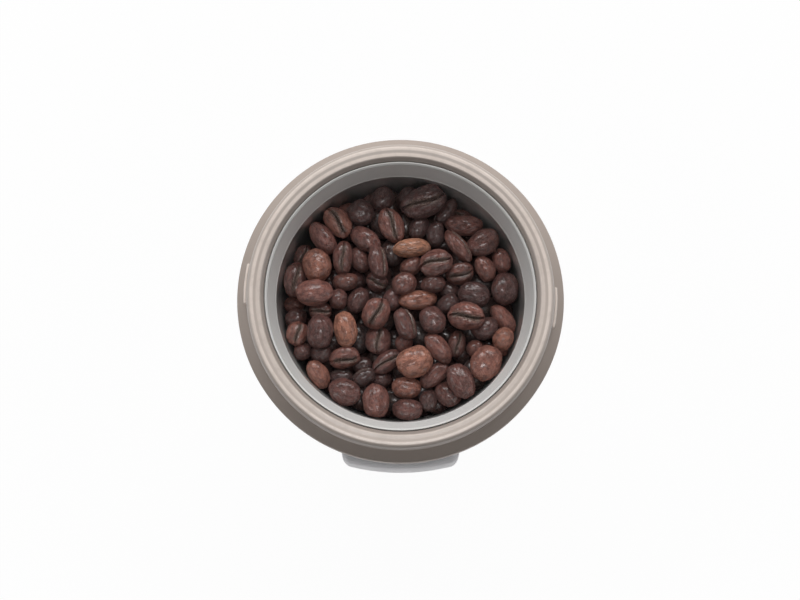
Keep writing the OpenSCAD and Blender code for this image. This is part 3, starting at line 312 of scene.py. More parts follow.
@dataclass(frozen=True)
class WornRingWithPaintedLight(Moulded):
    """The ring's plastic. It is paler on the collar's crest, on its two ridges and on its lugs,
    which is partly wear from the lid and partly a painted highlight. It is darker on the slope of
    its mouth, which is painted shade.

    A ridge is its radius, its half width and how far it is lightened by wear and painted highlight.
    """

    wear_and_highlight: Colour = (0.74, 0.645, 0.58)
    mouth_shade: Colour = (0.275, 0.229, 0.202)
    ridges: tuple[Triple, ...] = ((0.04280, 0.0010, 0.60), (0.04475, 0.0008, 0.85))
    crest_z: float = 0.1497
    crest_wear_and_highlight: float = 0.15
    coat_z: float = 0.1450
    mouth_r: float = 0.0421
    lug_r: float = 0.0467
    lug_z: float = 0.1443

    def mix(self) -> Surface:
        """Lay out the ring's nodes.

        Returns:
            The material's nodes.
        """
        g = super().mix()
        radius, z = g.polar()
        g.feed("Coat Weight", g.ramped(z, self.coat_z, self.coat_z + 0.001, 0.0, self.gloss_coat))
        # Painted highlight, partly wear from the lid: the crest's top, its two ridges and the lugs
        # are lightened.
        wear_and_sheen = g.ramped(z, self.crest_z - 0.0003, self.crest_z) * self.crest_wear_and_highlight
        upper = g.ramped(z, self.crest_z - 0.001, self.crest_z - 0.0004)
        for ridge, half, share in self.ridges:
            line = g.ramped(abs(radius - ridge), half, half * 0.35) * share
            wear_and_sheen = g.maths("MAXIMUM", wear_and_sheen, line * upper)
        beyond = g.ramped(radius, self.lug_r - 0.0002, self.lug_r + 0.0002)
        lug = beyond * g.ramped(z, self.lug_z - 0.0003, self.lug_z + 0.0003)
        wear_and_sheen_breakup = g.noise(g.stretched(g.place(), 1.0, 1.0, 0.4), 260.0, 4.0, 0.65)
        wear_and_sheen = g.maths("MAXIMUM", wear_and_sheen, lug) * g.ramped(wear_and_sheen_breakup, 0.25, 0.6, 0.7, 1.0)
        # Painted shade: the slope of the ring's mouth is darkened.
        mouth = g.ramped(radius, self.mouth_r + 0.0003, self.mouth_r - 0.0003)
        plain = g.mixed(g.fed("Base Color"), self.mouth_shade, mouth)
        g.feed("Base Color", g.mixed(plain, self.wear_and_highlight, wear_and_sheen))
        return g


class Lay(Enum):
    """How a metal was worked, which sets the run of its marks."""

    TURNED = "rings round the upright axis"
    GROUND = "fine lines along X"
    CAST = "coarse skin"
    PLATED = "bright skin with a soft bloom"
    STACKED = "thin sheets, one on another"
    WOUND = "turns of wire"


@dataclass(frozen=True)
class Metal(Tinted):
    """Metal with the marks of its making."""

    lay: Lay = Lay.PLATED
    roughness: float = 0.3
    depth: float = 0.000006
    spread: float = 0.25
    metallic: float = 1.0

    def marks(self, g: Surface) -> Wire:
        """The marks as a height from 0 to 1.

        Args:
            g: The material's nodes.

        Returns:
            The height.
        """
        place, (radius, z) = g.place(), g.polar()
        if self.lay is Lay.TURNED:
            x, y, _ = g.split(place)
            turn = g.maths("ARCTAN2", y, x)
            fine = g.noise(g.vector(radius * 5200.0, z * 5200.0, turn * 1.1), 1.0, 3.0, 0.6)
            broad = g.noise(g.vector(radius * 900.0, z * 900.0, turn * 2.3), 1.0)
            return fine * 0.65 + broad * 0.35
        if self.lay is Lay.GROUND:
            return g.noise(g.stretched(place, 90.0, 4200.0, 4200.0), 1.0, 3.0, 0.6)
        if self.lay is Lay.CAST:
            return g.noise(place, 900.0, 5.0, 0.7)
        if self.lay is Lay.STACKED:
            sheet = abs(g.maths("FRACT", z * 2000.0) - 0.5) * 2.0
            return sheet * 0.8 + g.noise(place, 500.0, 3.0) * 0.2
        if self.lay is Lay.WOUND:
            winding = g.maths("SINE", (radius + z * 0.6) * 15500.0) * 0.5 + 0.5
            return winding * 0.75 + g.noise(place, 700.0) * 0.25
        return g.noise(place, 260.0, 4.0, 0.6)

    def mix(self) -> Surface:
        """Lay out the metal's nodes.

        Returns:
            The material's nodes.
        """
        g = Surface(self.name, Metallic=self.metallic)
        marks = self.marks(g)
        tone = marks * 0.45 + g.noise(g.place(), 55.0, 3.0) * 0.55
        g.feed("Base Color", g.mixed(self.tint(0.86), self.tint(1.1), tone))
        low, high = self.roughness * (1 - self.spread), self.roughness * (1 + self.spread)
        g.feed("Roughness", g.ramped(tone, 0.3, 0.7, low, high))
        g.relief(marks, self.depth, 0.7)
        return g


@dataclass(frozen=True)
class BowlSteel(Metal):
    """Spun steel, polished in the bowl's pot and blasted to a pale satin on the band above it."""

    band_z: float = 0.1416
    lip_z: float = 0.1480
    satin: Colour = (0.66, 0.655, 0.64)
    dusted: Colour = (0.6072, 0.6026, 0.5888)
    lip: Colour = (0.55, 0.545, 0.53)
    satin_metallic: float = 0.2
    satin_roughness: float = 0.5

    def mix(self) -> Surface:
        """Lay out the steel's nodes.

        Returns:
            The material's nodes.
        """
        g = super().mix()
        _, z = g.polar()
        band = g.ramped(z, self.band_z - 0.0002, self.band_z + 0.0002)
        cloud = g.noise(g.place(), 60.0, 4.0, 0.6)
        top = g.ramped(z, self.lip_z - 0.0003, self.lip_z + 0.0004)
        pale = g.mixed(g.mixed(self.satin, self.dusted, cloud), self.lip, top)
        satin = band * (cloud * 0.12 + self.satin_roughness)
        g.feed("Base Color", g.mixed(g.fed("Base Color"), pale, band))
        g.feed("Roughness", g.fed("Roughness") * (1.0 - band) + satin)
        g.feed("Metallic", 1.0 - band * (1.0 - self.satin_metallic))
        return g


@dataclass(frozen=True)
class RoastedSkin(Finish):
    """Roasted coffee: dark wrinkled skin, pale chaff flaking in the crease with painted shade in
    its cracks, and a gloss of oil.

    It reads two point attributes of each bean: bean_place, the point in the bean's own half sizes,
    and roast, which holds how light the bean is (darker for beans that lie low, as painted shade),
    how warm, and a seed.
    """

    cool: Stops = (
        (0.0, (0.010, 0.005, 0.005)), (0.3, (0.098, 0.036, 0.034)), (0.5, (0.325, 0.128, 0.112)),
        (0.75, (0.570, 0.250, 0.198)), (1.0, (0.690, 0.330, 0.225)),
    )
    hot: Stops = (
        (0.0, (0.012, 0.005, 0.004)), (0.3, (0.115, 0.039, 0.027)), (0.5, (0.365, 0.132, 0.088)),
        (0.75, (0.640, 0.262, 0.160)), (1.0, (0.780, 0.350, 0.200)),
    )
    shade: Colour = (0.30, 0.26, 0.25)
    fleck: Colour = (0.52, 0.33, 0.27)
    # Painted shade: the very dark colour in the cracks between the crease's chaff flakes.
    crack_shade: Colour = (0.050, 0.024, 0.018)
    chaff: Colour = (0.68, 0.50, 0.40)
    crease_half: float = 0.28
    depth: float = 0.0027

    def mix(self) -> Surface:
        """Lay out the skin's nodes.

        Returns:
            The material's nodes.
        """
        g = Surface(self.name, Specular_IOR_Level=0.4, Coat_Roughness=0.22)
        place = g.node("ShaderNodeAttribute", {"attribute_name": "bean_place"}, output="Vector")
        roast = g.node("ShaderNodeAttribute", {"attribute_name": "roast"}, output="Color")
        (x, y, z), (light, warm, seed) = g.split(place), g.split(roast)
        own = g.vector(x + seed * 37.0, y + seed * 11.0, z)
        ramp = "ShaderNodeValToRGB"
        cool, hot = (g.node(ramp, {"stops": stops}, {0: light}) for stops in (self.cool, self.hot))
        mottle = g.ramped(g.noise(own, 2.6, 4.0, 0.62), 0.35, 0.62, 0.8, 0.0)
        speck = g.noise(g.stretched(own, 2.0, 5.0, 5.0), 3.2, 3.0, 0.7)
        skin = g.mixed(g.mixed(cool, hot, warm), self.shade, mottle, "MULTIPLY")
        skin = g.mixed(skin, self.fleck, g.ramped(speck, 0.52, 0.74, 0.0, 0.45))
        off_line = abs(y - g.maths("SINE", x * math.pi) * CREASE_WAVE)
        ragged = g.noise(g.stretched(own, 5.0, 9.0, 9.0), 2.0, 3.0, 0.7) * 0.16
        crease = g.ramped(off_line - ragged, self.crease_half, 0.0)
        crease = crease * g.ramped(z, -0.06, -0.3) * g.ramped(abs(x), 0.86, 0.66)
        flake = g.noise(g.stretched(own, 4.0, 14.0, 14.0), 2.4, 3.0, 0.7)
        # The crease shows pale chaff, with painted shade in the cracks between the flakes.
        chaff_and_crack_shade = g.mixed(self.crack_shade, self.chaff, g.ramped(flake, 0.47, 0.66))
        g.feed("Base Color", g.mixed(skin, chaff_and_crack_shade, crease * g.ramped(light, 0.1, 0.5, 0.25, 0.95)))
        oil, pucker = g.noise(own, 4.2, 3.0, 0.6), g.noise(own, 10.0, 3.0, 0.7)
        g.feed("Roughness", g.ramped(oil * 0.6 + pucker * 0.4, 0.36, 0.64, 0.30, 0.56))
        g.feed("Coat Weight", g.ramped(oil, 0.36, 0.62, 0.8, 0.0))
        wrinkle = g.noise(g.stretched(own, 1.6, 3.6, 3.6), 2.4, 4.0, 0.62)
        g.relief(wrinkle * 0.55 + pucker * 0.45 - crease * 0.2, self.depth, 1.0)
        return g


FINISHES: dict[str, Finish] = {
    "ring_plastic": WornRingWithPaintedLight(
        "taupe_ring_plastic", (0.395, 0.334, 0.296), roughness=0.5, grain=0.000006, mottle=0.035,
        gloss_coat=0.7, coat_roughness=0.28, specular=0.2,
    ),
    "bowl_steel": BowlSteel(
        "spun_bowl_steel", (0.62, 0.615, 0.605), Lay.TURNED, roughness=0.4, depth=0.000003
    ),
    "blade_steel": Metal("ground_blade_steel", (0.60, 0.60, 0.60), Lay.GROUND, roughness=0.26),
    "shaft_steel": Metal("turned_shaft_steel", (0.56, 0.56, 0.56), Lay.TURNED, roughness=0.22),
    "screw_steel": Metal("zinc_plated_steel", (0.60, 0.61, 0.60), Lay.PLATED, roughness=0.3),
    "black_rubber": Moulded(
        "black_rubber", (0.022, 0.022, 0.023), roughness=0.72, grain=0.00003, mottle=0.12,
        specular=0.35,
    ),
    "housing_plastic": Moulded(
        "white_gloss_plastic", (0.82, 0.81, 0.81), roughness=0.3, grain=0.000004, grain_size=0.0012,
        mottle=0.010, gloss_coat=0.35, wear=0.03,
    ),
    "button_plastic": Moulded(
        "press_bar_plastic", (0.89, 0.875, 0.89), roughness=0.5, grain=0.000005, grain_size=0.0009,
        mottle=0.012, wear=0.03, specular=0.06,
    ),
    "inner_plastic": Moulded(
        "grey_moulding", (0.20, 0.20, 0.21), roughness=0.5, grain=0.00002, mottle=0.06
    ),
    "base_plastic": Moulded(
        "black_moulding", (0.035, 0.035, 0.036), roughness=0.55, grain=0.00004, mottle=0.1
    ),
    "block_plastic": Moulded("ivory_moulding", (0.66, 0.64, 0.60), roughness=0.45, mottle=0.05),
    "switch_plastic": Moulded("switch_moulding", (0.028, 0.028, 0.030), mottle=0.1),
    "plunger_plastic": Moulded("red_moulding", (0.42, 0.03, 0.02), mottle=0.08),
    "capacitor_plastic": Moulded(
        "potted_yellow", (0.60, 0.38, 0.03), roughness=0.3, grain_size=0.002, mottle=0.08,
        gloss_coat=0.3,
    ),
    "bracket_metal": Metal(
        "cast_alloy", (0.58, 0.58, 0.59), Lay.CAST, roughness=0.45, depth=0.00003
    ),
    "lamination": Metal(
        "stacked_lamination", (0.14, 0.14, 0.15), Lay.STACKED, roughness=0.5, depth=0.00006,
        metallic=0.6,
    ),
    "enamelled_wire": Metal(
        "enamelled_winding", (0.42, 0.15, 0.06), Lay.WOUND, depth=0.0001, metallic=0.55
    ),
    "copper": Metal("turned_copper", (0.64, 0.31, 0.18), Lay.TURNED, roughness=0.28),
    "brass": Metal("plain_brass", (0.66, 0.48, 0.19), Lay.TURNED),
    "carbon": Moulded(
        "pressed_carbon", (0.025, 0.025, 0.026), roughness=0.6, grain=0.00003, mottle=0.2
    ),
    "brown_lead": Moulded("brown_insulation", (0.15, 0.055, 0.028), roughness=0.38, mottle=0.06),
    "blue_lead": Moulded("blue_insulation", (0.03, 0.10, 0.38), roughness=0.38, mottle=0.06),
    "red_lead": Moulded("red_insulation", (0.46, 0.03, 0.02), roughness=0.38, mottle=0.06),
    "roasted_skin": RoastedSkin("roasted_skin"),
}


# ------------------------ modelling bench


class Pick(Enum):
    """What a selection is made of."""

    POINTS = "VERT"
    EDGES = "EDGE"
    FACES = "FACE"


Test = Callable[[Vector, Vector], bool]


def turn(degrees: float, axis: str = "Z") -> Matrix:
    """A turn about an axis through the origin."""
    return Matrix.Rotation(math.radians(degrees), 4, axis)


def shift(x: float = 0.0, y: float = 0.0, z: float = 0.0) -> Matrix:
    """A shift in millimetres."""
    return Matrix.Translation(Vector((x, y, z)) * MM)


def rounded(*corners: Corner, cuts: int = 5) -> list[tuple[float, float]]:
    """A closed outline with its corners rounded.

    Args:
        corners: Each corner's radius, height and fillet, in millimetres.
        cuts: Steps on each fillet.

    Returns:
        The outline's (radius, height) points in metres.
    """
    outline: list[tuple[float, float]] = []
    for i, (r, z, fillet) in enumerate(corners):
        here = Vector((r, z))
        if not fillet:
            outline.append((r * MM, z * MM))
            continue
        before = Vector(corners[i - 1][:2]) - here
        after = Vector(corners[(i + 1) % len(corners)][:2]) - here
        half = before.angle(after) / 2
        reach = min(fillet / math.tan(half), 0.49 * before.length, 0.49 * after.length)
        first, last = here + before.normalized() * reach, here + after.normalized() * reach
        for t in (k / cuts for k in range(cuts + 1)):
            point = first * (1 - t) ** 2 + here * 2 * t * (1 - t) + last * t**2
            outline.append((point.x * MM, point.y * MM))
    return outline


@dataclass
class Piece:
    """A mesh on the bench, shaped by hand moves in edit mode. Its object stays at the origin."""

    thing: bpy.types.Object

    @classmethod
    def added(cls, name: str, add: Callable[..., set[str]], **how: object) -> "Piece":
        """Add a primitive, and carry its place into its mesh.

        Args:
            name: The piece's name.
            add: The operator that adds the primitive.
            how: The operator's own sizes and place.

        Returns:
            The piece, in edit mode.
        """
        bpy.ops.object.select_all(action="DESELECT")
        add(**how)
        piece = cls(bpy.context.object)
        piece.thing.name = piece.thing.data.name = name
        bpy.ops.object.transform_apply(location=True, rotation=True, scale=True)
        bpy.ops.object.mode_set(mode="EDIT")
        return piece

    @classmethod
    def bar(cls, name: str, middle: Triple, size: Triple) -> "Piece":
        """A straight bar, in edit mode, by its middle and size in millimetres."""
        place = tuple(part * MM for part in middle)
        return cls.added(name, bpy.ops.mesh.primitive_cube_add, size=MM, location=place, scale=size)

    @classmethod
    def turned(cls, name: str, section: Sequence[tuple[float, float]], steps: int = 192) -> "Piece":
        """Draw a closed section by extruding a point, and spin it round the Z axis.

        Args:
            name: The piece's name.
            section: The (radius, height) points, in metres.
            steps: Steps of the full turn.

        Returns:
            The piece, in edit mode.
        """
        piece = cls.added(name, bpy.ops.mesh.primitive_plane_add, size=2 * MM)
        piece.pick(Pick.POINTS, lambda at, _: at.x < 0 or at.y < 0)
        bpy.ops.mesh.delete(type="VERT")
        piece.pick(Pick.POINTS)
        here = Vector((MM, MM, 0.0))
        for i, (r, z) in enumerate([*section, section[0]]):
            there = Vector((r, 0.0, z))
            step = tuple(there - here)
            if i:
                bpy.ops.mesh.extrude_vertices_move(TRANSFORM_OT_translate={"value": step})
            else:
                piece.move(*step)
            here = there
        piece.pick(Pick.POINTS)
        bpy.ops.mesh.spin(steps=steps, angle=math.tau, center=(0, 0, 0), axis=(0, 0, 1))
        piece.merge()
        return piece

    def pick(self, kind: Pick, test: Test | None = None, sharp: float = 0.0) -> None:
        """Select points, edges or faces by their place.

        Args:
            kind: What to select.
            test: Says of a place and a direction (a normal, or an edge's run) whether it is wanted.
            sharp: Least angle between an edge's two faces, in degrees.
        """
        bpy.ops.mesh.select_mode(type=kind.value)
        bpy.ops.mesh.select_all(action="DESELECT" if test else "SELECT")
        if not test:
            return
        shape = bmesh.from_edit_mesh(self.thing.data)
        shape.normal_update()
        if kind is Pick.POINTS:
            found = [v for v in shape.verts if test(v.co, v.normal)]
        elif kind is Pick.FACES:
            found = [f for f in shape.faces if test(f.calc_center_median(), f.normal)]
        else:
            ends = ((edge, *(v.co for v in edge.verts)) for edge in shape.edges)
            found = [
                edge for edge, one, other in ends
                if test((one + other) / 2, other - one)
                and (not sharp or math.degrees(edge.calc_face_angle(0.0)) >= sharp)
            ]
        for part in found:
            part.select_set(True)
        shape.select_flush_mode()
        bmesh.update_edit_mesh(self.thing.data)

    def move(self, x: float = 0.0, y: float = 0.0, z: float = 0.0) -> None:
        """Shift what is selected."""
        bpy.ops.transform.translate(value=(x, y, z))

    def scale(self, x: float, y: float, z: float, about: Triple = (0.0, 0.0, 0.0)) -> None:
        """Scale what is selected about a point."""
        bpy.ops.transform.resize(value=(x, y, z), center_override=about)

    def extrude(self, x: float = 0.0, y: float = 0.0, z: float = 0.0) -> None:
        """Extrude what is selected, and shift the new part."""
        bpy.ops.mesh.extrude_region_move(TRANSFORM_OT_translate={"value": (x, y, z)})

    def bevel(self, width: float, cuts: int = 3) -> None:
        """Round the selected edges, as far as there is room."""
        bpy.ops.mesh.bevel(offset=width, segments=cuts, profile=0.5, clamp_overlap=True)

    def bend(self, rule: Callable[[Vector], Vector]) -> None:
        """Move each point to where a rule puts it."""
        shape = bmesh.from_edit_mesh(self.thing.data)
        for point in shape.verts:
            point.co = rule(point.co.copy())
        bmesh.update_edit_mesh(self.thing.data)

    def merge(self) -> None:
        """Merge doubled points."""
        self.pick(Pick.POINTS)
        bpy.ops.mesh.remove_doubles(threshold=DOUBLED)

    def close(self, angle: float = CRISP) -> "Piece":
        """Merge doubles, turn the faces out and shade the piece smooth.

        Args:
            angle: Edges sharper than this, in degrees, stay crisp.

        Returns:
            The piece, in object mode.
        """
        self.merge()
        bpy.ops.mesh.normals_make_consistent(inside=False)
        bpy.ops.object.mode_set(mode="OBJECT")
        self.alone()
        bpy.ops.object.shade_smooth_by_angle(angle=math.radians(angle))
        return self

    def alone(self) -> None:
        """Make this the only selected and the active object."""
        bpy.ops.object.select_all(action="DESELECT")
        self.thing.select_set(True)
        bpy.context.view_layer.objects.active = self.thing

    def put(self, place: Matrix) -> "Piece":
        """Move the mesh, while the object stays at the origin."""
        self.thing.data.transform(place)
        return self

    def copied(self, place: Matrix) -> "Piece":
        """A copy with a mesh of its own, put somewhere else."""
        twin = Piece(self.thing.copy())
        twin.thing.data = self.thing.data.copy()
        bpy.context.scene.collection.objects.link(twin.thing)
        return twin.put(place)

    def spent(self) -> None:
        """Take the piece off the bench."""
        bpy.data.objects.remove(self.thing, do_unlink=True)

    def joined(self, others: Sequence["Piece"]) -> "Piece":
        """Take other pieces into this one."""
        self.alone()
        for other in others:
            other.thing.select_set(True)
        bpy.ops.object.join()
        return self

    def changed(self, kind: str, **settings: object) -> None:
        """Put a modifier on the piece, in object mode, and apply it."""
        self.alone()
        modifier = self.thing.modifiers.new(kind.lower(), kind)
        for key, value in settings.items():
            setattr(modifier, key, value)
        bpy.ops.object.modifier_apply(modifier=modifier.name)

    def cut(self, tool: "Piece") -> None:
        """Cut this piece with another one, which is used up."""
        self.changed("BOOLEAN", operation="DIFFERENCE", solver="EXACT", object=tool.thing)
        bpy.ops.object.shade_smooth_by_angle(angle=math.radians(CRISP))
        tool.spent()

    def dress(self, body: str, finish: str, *nodes: str) -> "Piece":
        """Give the piece its finish and its place in the frame.

        Args:
            body: The body that it rides on.
            finish: The finish, which is also its material slot if it stands for nodes.
            nodes: The nodes that it stands for.

        Returns:
            The piece.
        """
        self.thing.data.materials.clear()
        self.thing.data.materials.append(FINISHES[finish].material())
        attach(self.thing, body)
        if nodes:
            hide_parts(*nodes)
        log.info("%s: %d faces on %s", self.thing.name, len(self.thing.data.polygons), body)
        return self


# ------------------------ top ring and bowl


@dataclass
class TopRing:
    """The taupe ring with its ridged collar, sloping shoulder and two bayonet lugs. Millimetres."""

    section: tuple[Corner, ...] = (
        (42.29, 130.0, 0.3), (42.29, 141.5, 0.3),  # spigot, inside
        (40.7, 143.2, 0.3), (40.7, 145.6, 0.25), (41.9, 145.6, 0.2), (41.9, 147.5, 0.2),  # seat
        (41.08, 147.8, 0.1), (41.08, 148.5, 0.1),  # mouth
        (42.3, 149.85, 0.6), (43.4, 149.72, 0.5), (44.45, 150.0, 0.5), (45.1, 149.97, 0.8),  # crest
        (45.85, 149.5, 0.9), (46.3, 148.3, 0.8), (46.38, 146.8, 0.0), (46.4, 144.3, 0.0),  # side
        (46.45, 143.65, 0.5), (49.9, 140.6, 0.9),  # shoulder
        (50.0, 136.0, 0.4), (48.4, 136.0, 0.4), (48.4, 139.5, 0.5),  # skirt
        (43.89, 139.5, 0.3), (43.89, 130.0, 0.3),  # spigot, outside
    )
    collar_r: float = 46.4
    lug_z: tuple[float, float] = (144.3, 146.8)
    lug_span: tuple[float, float] = (-12.0, 3.0)
    lug_r: float = 47.35
    lug_side_r: float = 46.0
    lug_rim_r: float = 46.3
    lug_round: float = 0.35
    steps: int = 240

    def is_lug(self, at: Vector) -> bool:
        """Is this place on the side of the collar, where a lug stands out?"""
        (first, last), (low, high) = self.lug_span, self.lug_z
        half_turn = (math.degrees(math.atan2(at.y, at.x)) - first) % 180.0
        on_side = low < at.z / MM < high and at.xy.length / MM > self.lug_side_r
        return on_side and 0 < half_turn < last - first

    def is_rim(self, at: Vector) -> bool:
        """Is this place on the outer edges of a lug?"""
        low, high = self.lug_z
        return at.xy.length / MM > self.lug_rim_r and low - 0.01 <= at.z / MM <= high + 0.01

    def build(self) -> None:
        """Spin the ring, pull out its lugs and dress it."""
        ring = Piece.turned("top_ring", rounded(*self.section), self.steps)
        grow = self.lug_r / self.collar_r
        for half in (1, -1):
            ring.pick(Pick.FACES, lambda at, _: self.is_lug(at) and at.x * half > 0)
            ring.extrude()
            ring.scale(grow, grow, 1.0)
        ring.pick(Pick.EDGES, lambda at, _: self.is_rim(at), sharp=40)
        ring.bevel(self.lug_round * MM)
        ring.close().dress("housing", "ring_plastic", "collar_ring")


@dataclass
class Bowl:
    """The spun steel bowl: lip, sloping band, step line, drafted wall and floor. Millimetres."""

    lip: tuple[Corner, ...] = (
        (38.95, 145.0, 0.0), (39.8, 147.6, 0.6), (40.02, 148.3, 0.35), (40.72, 149.0, 0.25),
        (40.92, 148.0, 0.3), (41.0, 147.4, 0.2), (41.5, 147.3, 0.2), (41.5, 146.8, 0.2),
        (40.5, 146.8, 0.25),
    )
    step: tuple[Corner, ...] = ((37.85, 141.7, 0.25), (38.05, 142.05, 0.35))
    step_back: tuple[Corner, ...] = ((38.8, 141.9, 0.3), (38.65, 141.4, 0.3))
    wall_top_r: float = 37.85
    wall_top_z: float = 141.8
    wall_rows: tuple[float, ...] = (122.0, 134.0)
    draft: float = 6.7
    corner: float = 10.0
    floor_z: float = 104.0
    flat_r: float = 24.0
    sheet: float = 0.8
    hole_r: float = 7.0
    steps: int = 240

    def wall_r(self, z: float) -> float:
        """The inner radius of the wall at a height."""
        return self.wall_top_r - (self.wall_top_z - z) * math.tan(math.radians(self.draft))

    def section(self) -> list[tuple[float, float]]:
        """The bowl's section, up its inside and down its outside."""
        foot_r, under_z = self.wall_r(self.floor_z), self.floor_z - self.sheet
        return rounded(
            (self.hole_r, under_z, 0.0),
            (self.hole_r, self.floor_z, 0.2),
            (self.flat_r, self.floor_z, 0.0),
            (foot_r, self.floor_z, self.corner),
            *((self.wall_r(z), z, 0.0) for z in self.wall_rows),
            *self.step,
            *self.lip,
            *self.step_back,
            (foot_r + self.sheet, under_z, self.corner + self.sheet),
            cuts=7,
        )

    def build(self) -> None:
        """Spin the bowl and dress it."""
        bowl = Piece.turned("steel_bowl", self.section(), self.steps)
        bowl.close(50).dress("housing", "bowl_steel", "grinding_bowl")


# ------------------------ housing


@dataclass(frozen=True)
class Posts:
    """Screw posts with ribs that tie them to the wall, at angles in degrees. Millimetres."""

    angles: tuple[float, ...]
    place: float
    foot_z: float
    height: float
    radius: float = 3.4
    hole_r: float = 1.25
    rib_t: float = 2.0
    rib_drop: float = 1.0

    def build(self, reach: float) -> list[Piece]:
        """Make one post and its rib, and copy them.

        Args:
            reach: The radius at which the ribs end in the wall.

        Returns:
            The finished posts and ribs.
        """
        low, high = self.foot_z, self.foot_z + self.height
        section = rounded(
            (self.hole_r, low, 0.0), (self.radius, low, 0.3),
            (self.radius, high, 0.3), (self.hole_r, high, 0.0),
        )
        tube = Piece.turned("post", section, 32).close()
        end = reach - self.place
        rib = Piece.bar(
            "rib", ((self.radius + end) / 2, 0.0, low + self.height / 2),
            (end - self.radius, self.rib_t, self.height - self.rib_drop),
        )
        rib.pick(Pick.EDGES, lambda _, run: abs(run.z) > max(abs(run.x), abs(run.y)))
        rib.bevel(WIDEST, 2)
        rib.close()
        made = [p.copied(turn(a) @ shift(self.place)) for a in self.angles for p in (tube, rib)]
        tube.spent()
        rib.spent()
        return made


@dataclass
class Housing:
    """The tapered white housing, in two mouldings that meet at a fine seam. Millimetres."""

    foot_r: float = 43.5
    top_r: float = 46.6
    foot_z: float = 2.2
    top_z: float = 139.5
    wall: float = 2.2
    chamfer: float = 0.8
    outer_rows: tuple[float, ...] = (45.0, 58.0, 70.0, 82.0, 95.0, 110.0, 125.0)
    inner_rows: tuple[float, ...] = (125.0, 95.0, 70.0, 45.0)
    foot_rows: tuple[float, ...] = (16.0,)
    seam_z: float = 30.0
    seam_gap: float = 0.3
    seam_round: float = 0.35
    lap_h: float = 3.5
    lap_t: float = 1.2
    lap_gap: float = 0.3
    lap_foot_z: float = 25.0
    window: Triple = (46.0, 24.0, 30.0)
    window_at: Triple = (0.0, -46.0, 70.0)
    window_round: float = 3.0
    inlet_at: Triple = (0.0, 43.0, 16.0)
    inlet_r: float = 5.4
    inlet_l: float = 30.0
    base_posts: Posts = Posts((22.0, 158.0, 202.0, 338.0), 36.1, 5.2, 13.0)
    deck_posts: Posts = Posts((35.0, 145.0, 215.0, 325.0), 38.53, 82.0, 10.0)
    rib_lap: float = 0.4
    steps: int = 192

    def out(self, z: float) -> float:
        """The outer radius at a height."""
        share = (z - self.foot_z) / (self.top_z - self.foot_z)
        return self.foot_r + (self.top_r - self.foot_r) * share

    def rows(self, heights: Sequence[float], inset: float = 0.0) -> list[Corner]:
        """Plain points on the wall at some heights."""
        return [(self.out(z) - inset, z, 0.0) for z in heights]

    def posted(self, part: Piece, posts: Posts, node: str) -> None:
        """Add the posts to a moulding and dress it."""
        part.joined(posts.build(self.out(posts.foot_z) - self.wall + self.rib_lap))
        part.dress("housing", "housing_plastic", node)

    def build(self) -> None:
        """Build both mouldings."""
        self.build_shell()
        self.build_foot()

    def build_shell(self) -> None:
        """Spin the shell above the seam and cut its window."""
        low, top_in_r = self.seam_z + self.seam_gap, self.top_r - self.wall
        section = rounded(
            (self.out(low) - self.wall, low, 0.1), (self.out(low), low, self.seam_round),
            *self.rows(self.outer_rows), (self.top_r, self.top_z, 0.3), (top_in_r, self.top_z, 0.3),
            *self.rows(self.inner_rows, self.wall), cuts=3,
        )
        shell = Piece.turned("housing_shell", section, self.steps).close()
        tool = Piece.bar("window_tool", self.window_at, self.window)
        tool.pick(Pick.EDGES, lambda _, run: abs(run.y) > max(abs(run.x), abs(run.z)))
        tool.bevel(self.window_round * MM, 6)
        shell.cut(tool.close())
        self.posted(shell, self.deck_posts, "body_shell")

    def build_foot(self) -> None:
        """Spin the foot band and drill its cord inlet."""
        z, lap_r = self.seam_z, self.out(self.seam_z) - self.wall - self.lap_gap
        section = rounded(
            (self.foot_r - self.wall, self.foot_z, 0.2), (self.foot_r, self.foot_z, self.chamfer),
            *self.rows(self.foot_rows), (self.out(z), z, self.seam_round), (lap_r, z, 0.1),
            (lap_r, z + self.lap_h, 0.3), (lap_r - self.lap_t, z + self.lap_h, 0.3),
            (lap_r - self.lap_t, z - self.lap_h, 0.3),
            (self.out(self.lap_foot_z) - self.wall, self.lap_foot_z, 0.3), cuts=3,
        )
        foot = Piece.turned("housing_foot", section, self.steps).close()
        drill = Piece.added(
            "inlet_tool", bpy.ops.mesh.primitive_cylinder_add, radius=self.inlet_r * MM,
            depth=self.inlet_l * MM, vertices=64, location=[part * MM for part in self.inlet_at],
            rotation=(math.pi / 2, 0, 0),
        )
        foot.cut(drill.close())
        self.posted(foot, self.base_posts, "foot_band")


@dataclass
class Feet:
    """Four rubber feet, a little hollow below. Millimetres."""

    section: tuple[Corner, ...] = (
        (0.0, 0.35, 0.0), (2.2, 0.35, 0.2), (2.6, 0.0, 0.2), (6.0, 0.0, 0.8), (6.0, 3.8, 0.2),
        (0.0, 3.8, 0.0),
    )
    place: float = 33.0
    angles: tuple[float, ...] = (45.0, 135.0, 225.0, 315.0)

    def build(self) -> None:
        """Turn one foot, copy it and dress the four."""
        foot = Piece.turned("rubber_foot_set", rounded(*self.section), 48).close()
        first, *others = (turn(a) @ shift(self.place) for a in self.angles)
        copies = [foot.copied(place) for place in others]
        foot.put(first).joined(copies).dress("housing", "black_rubber", "rubber_feet")


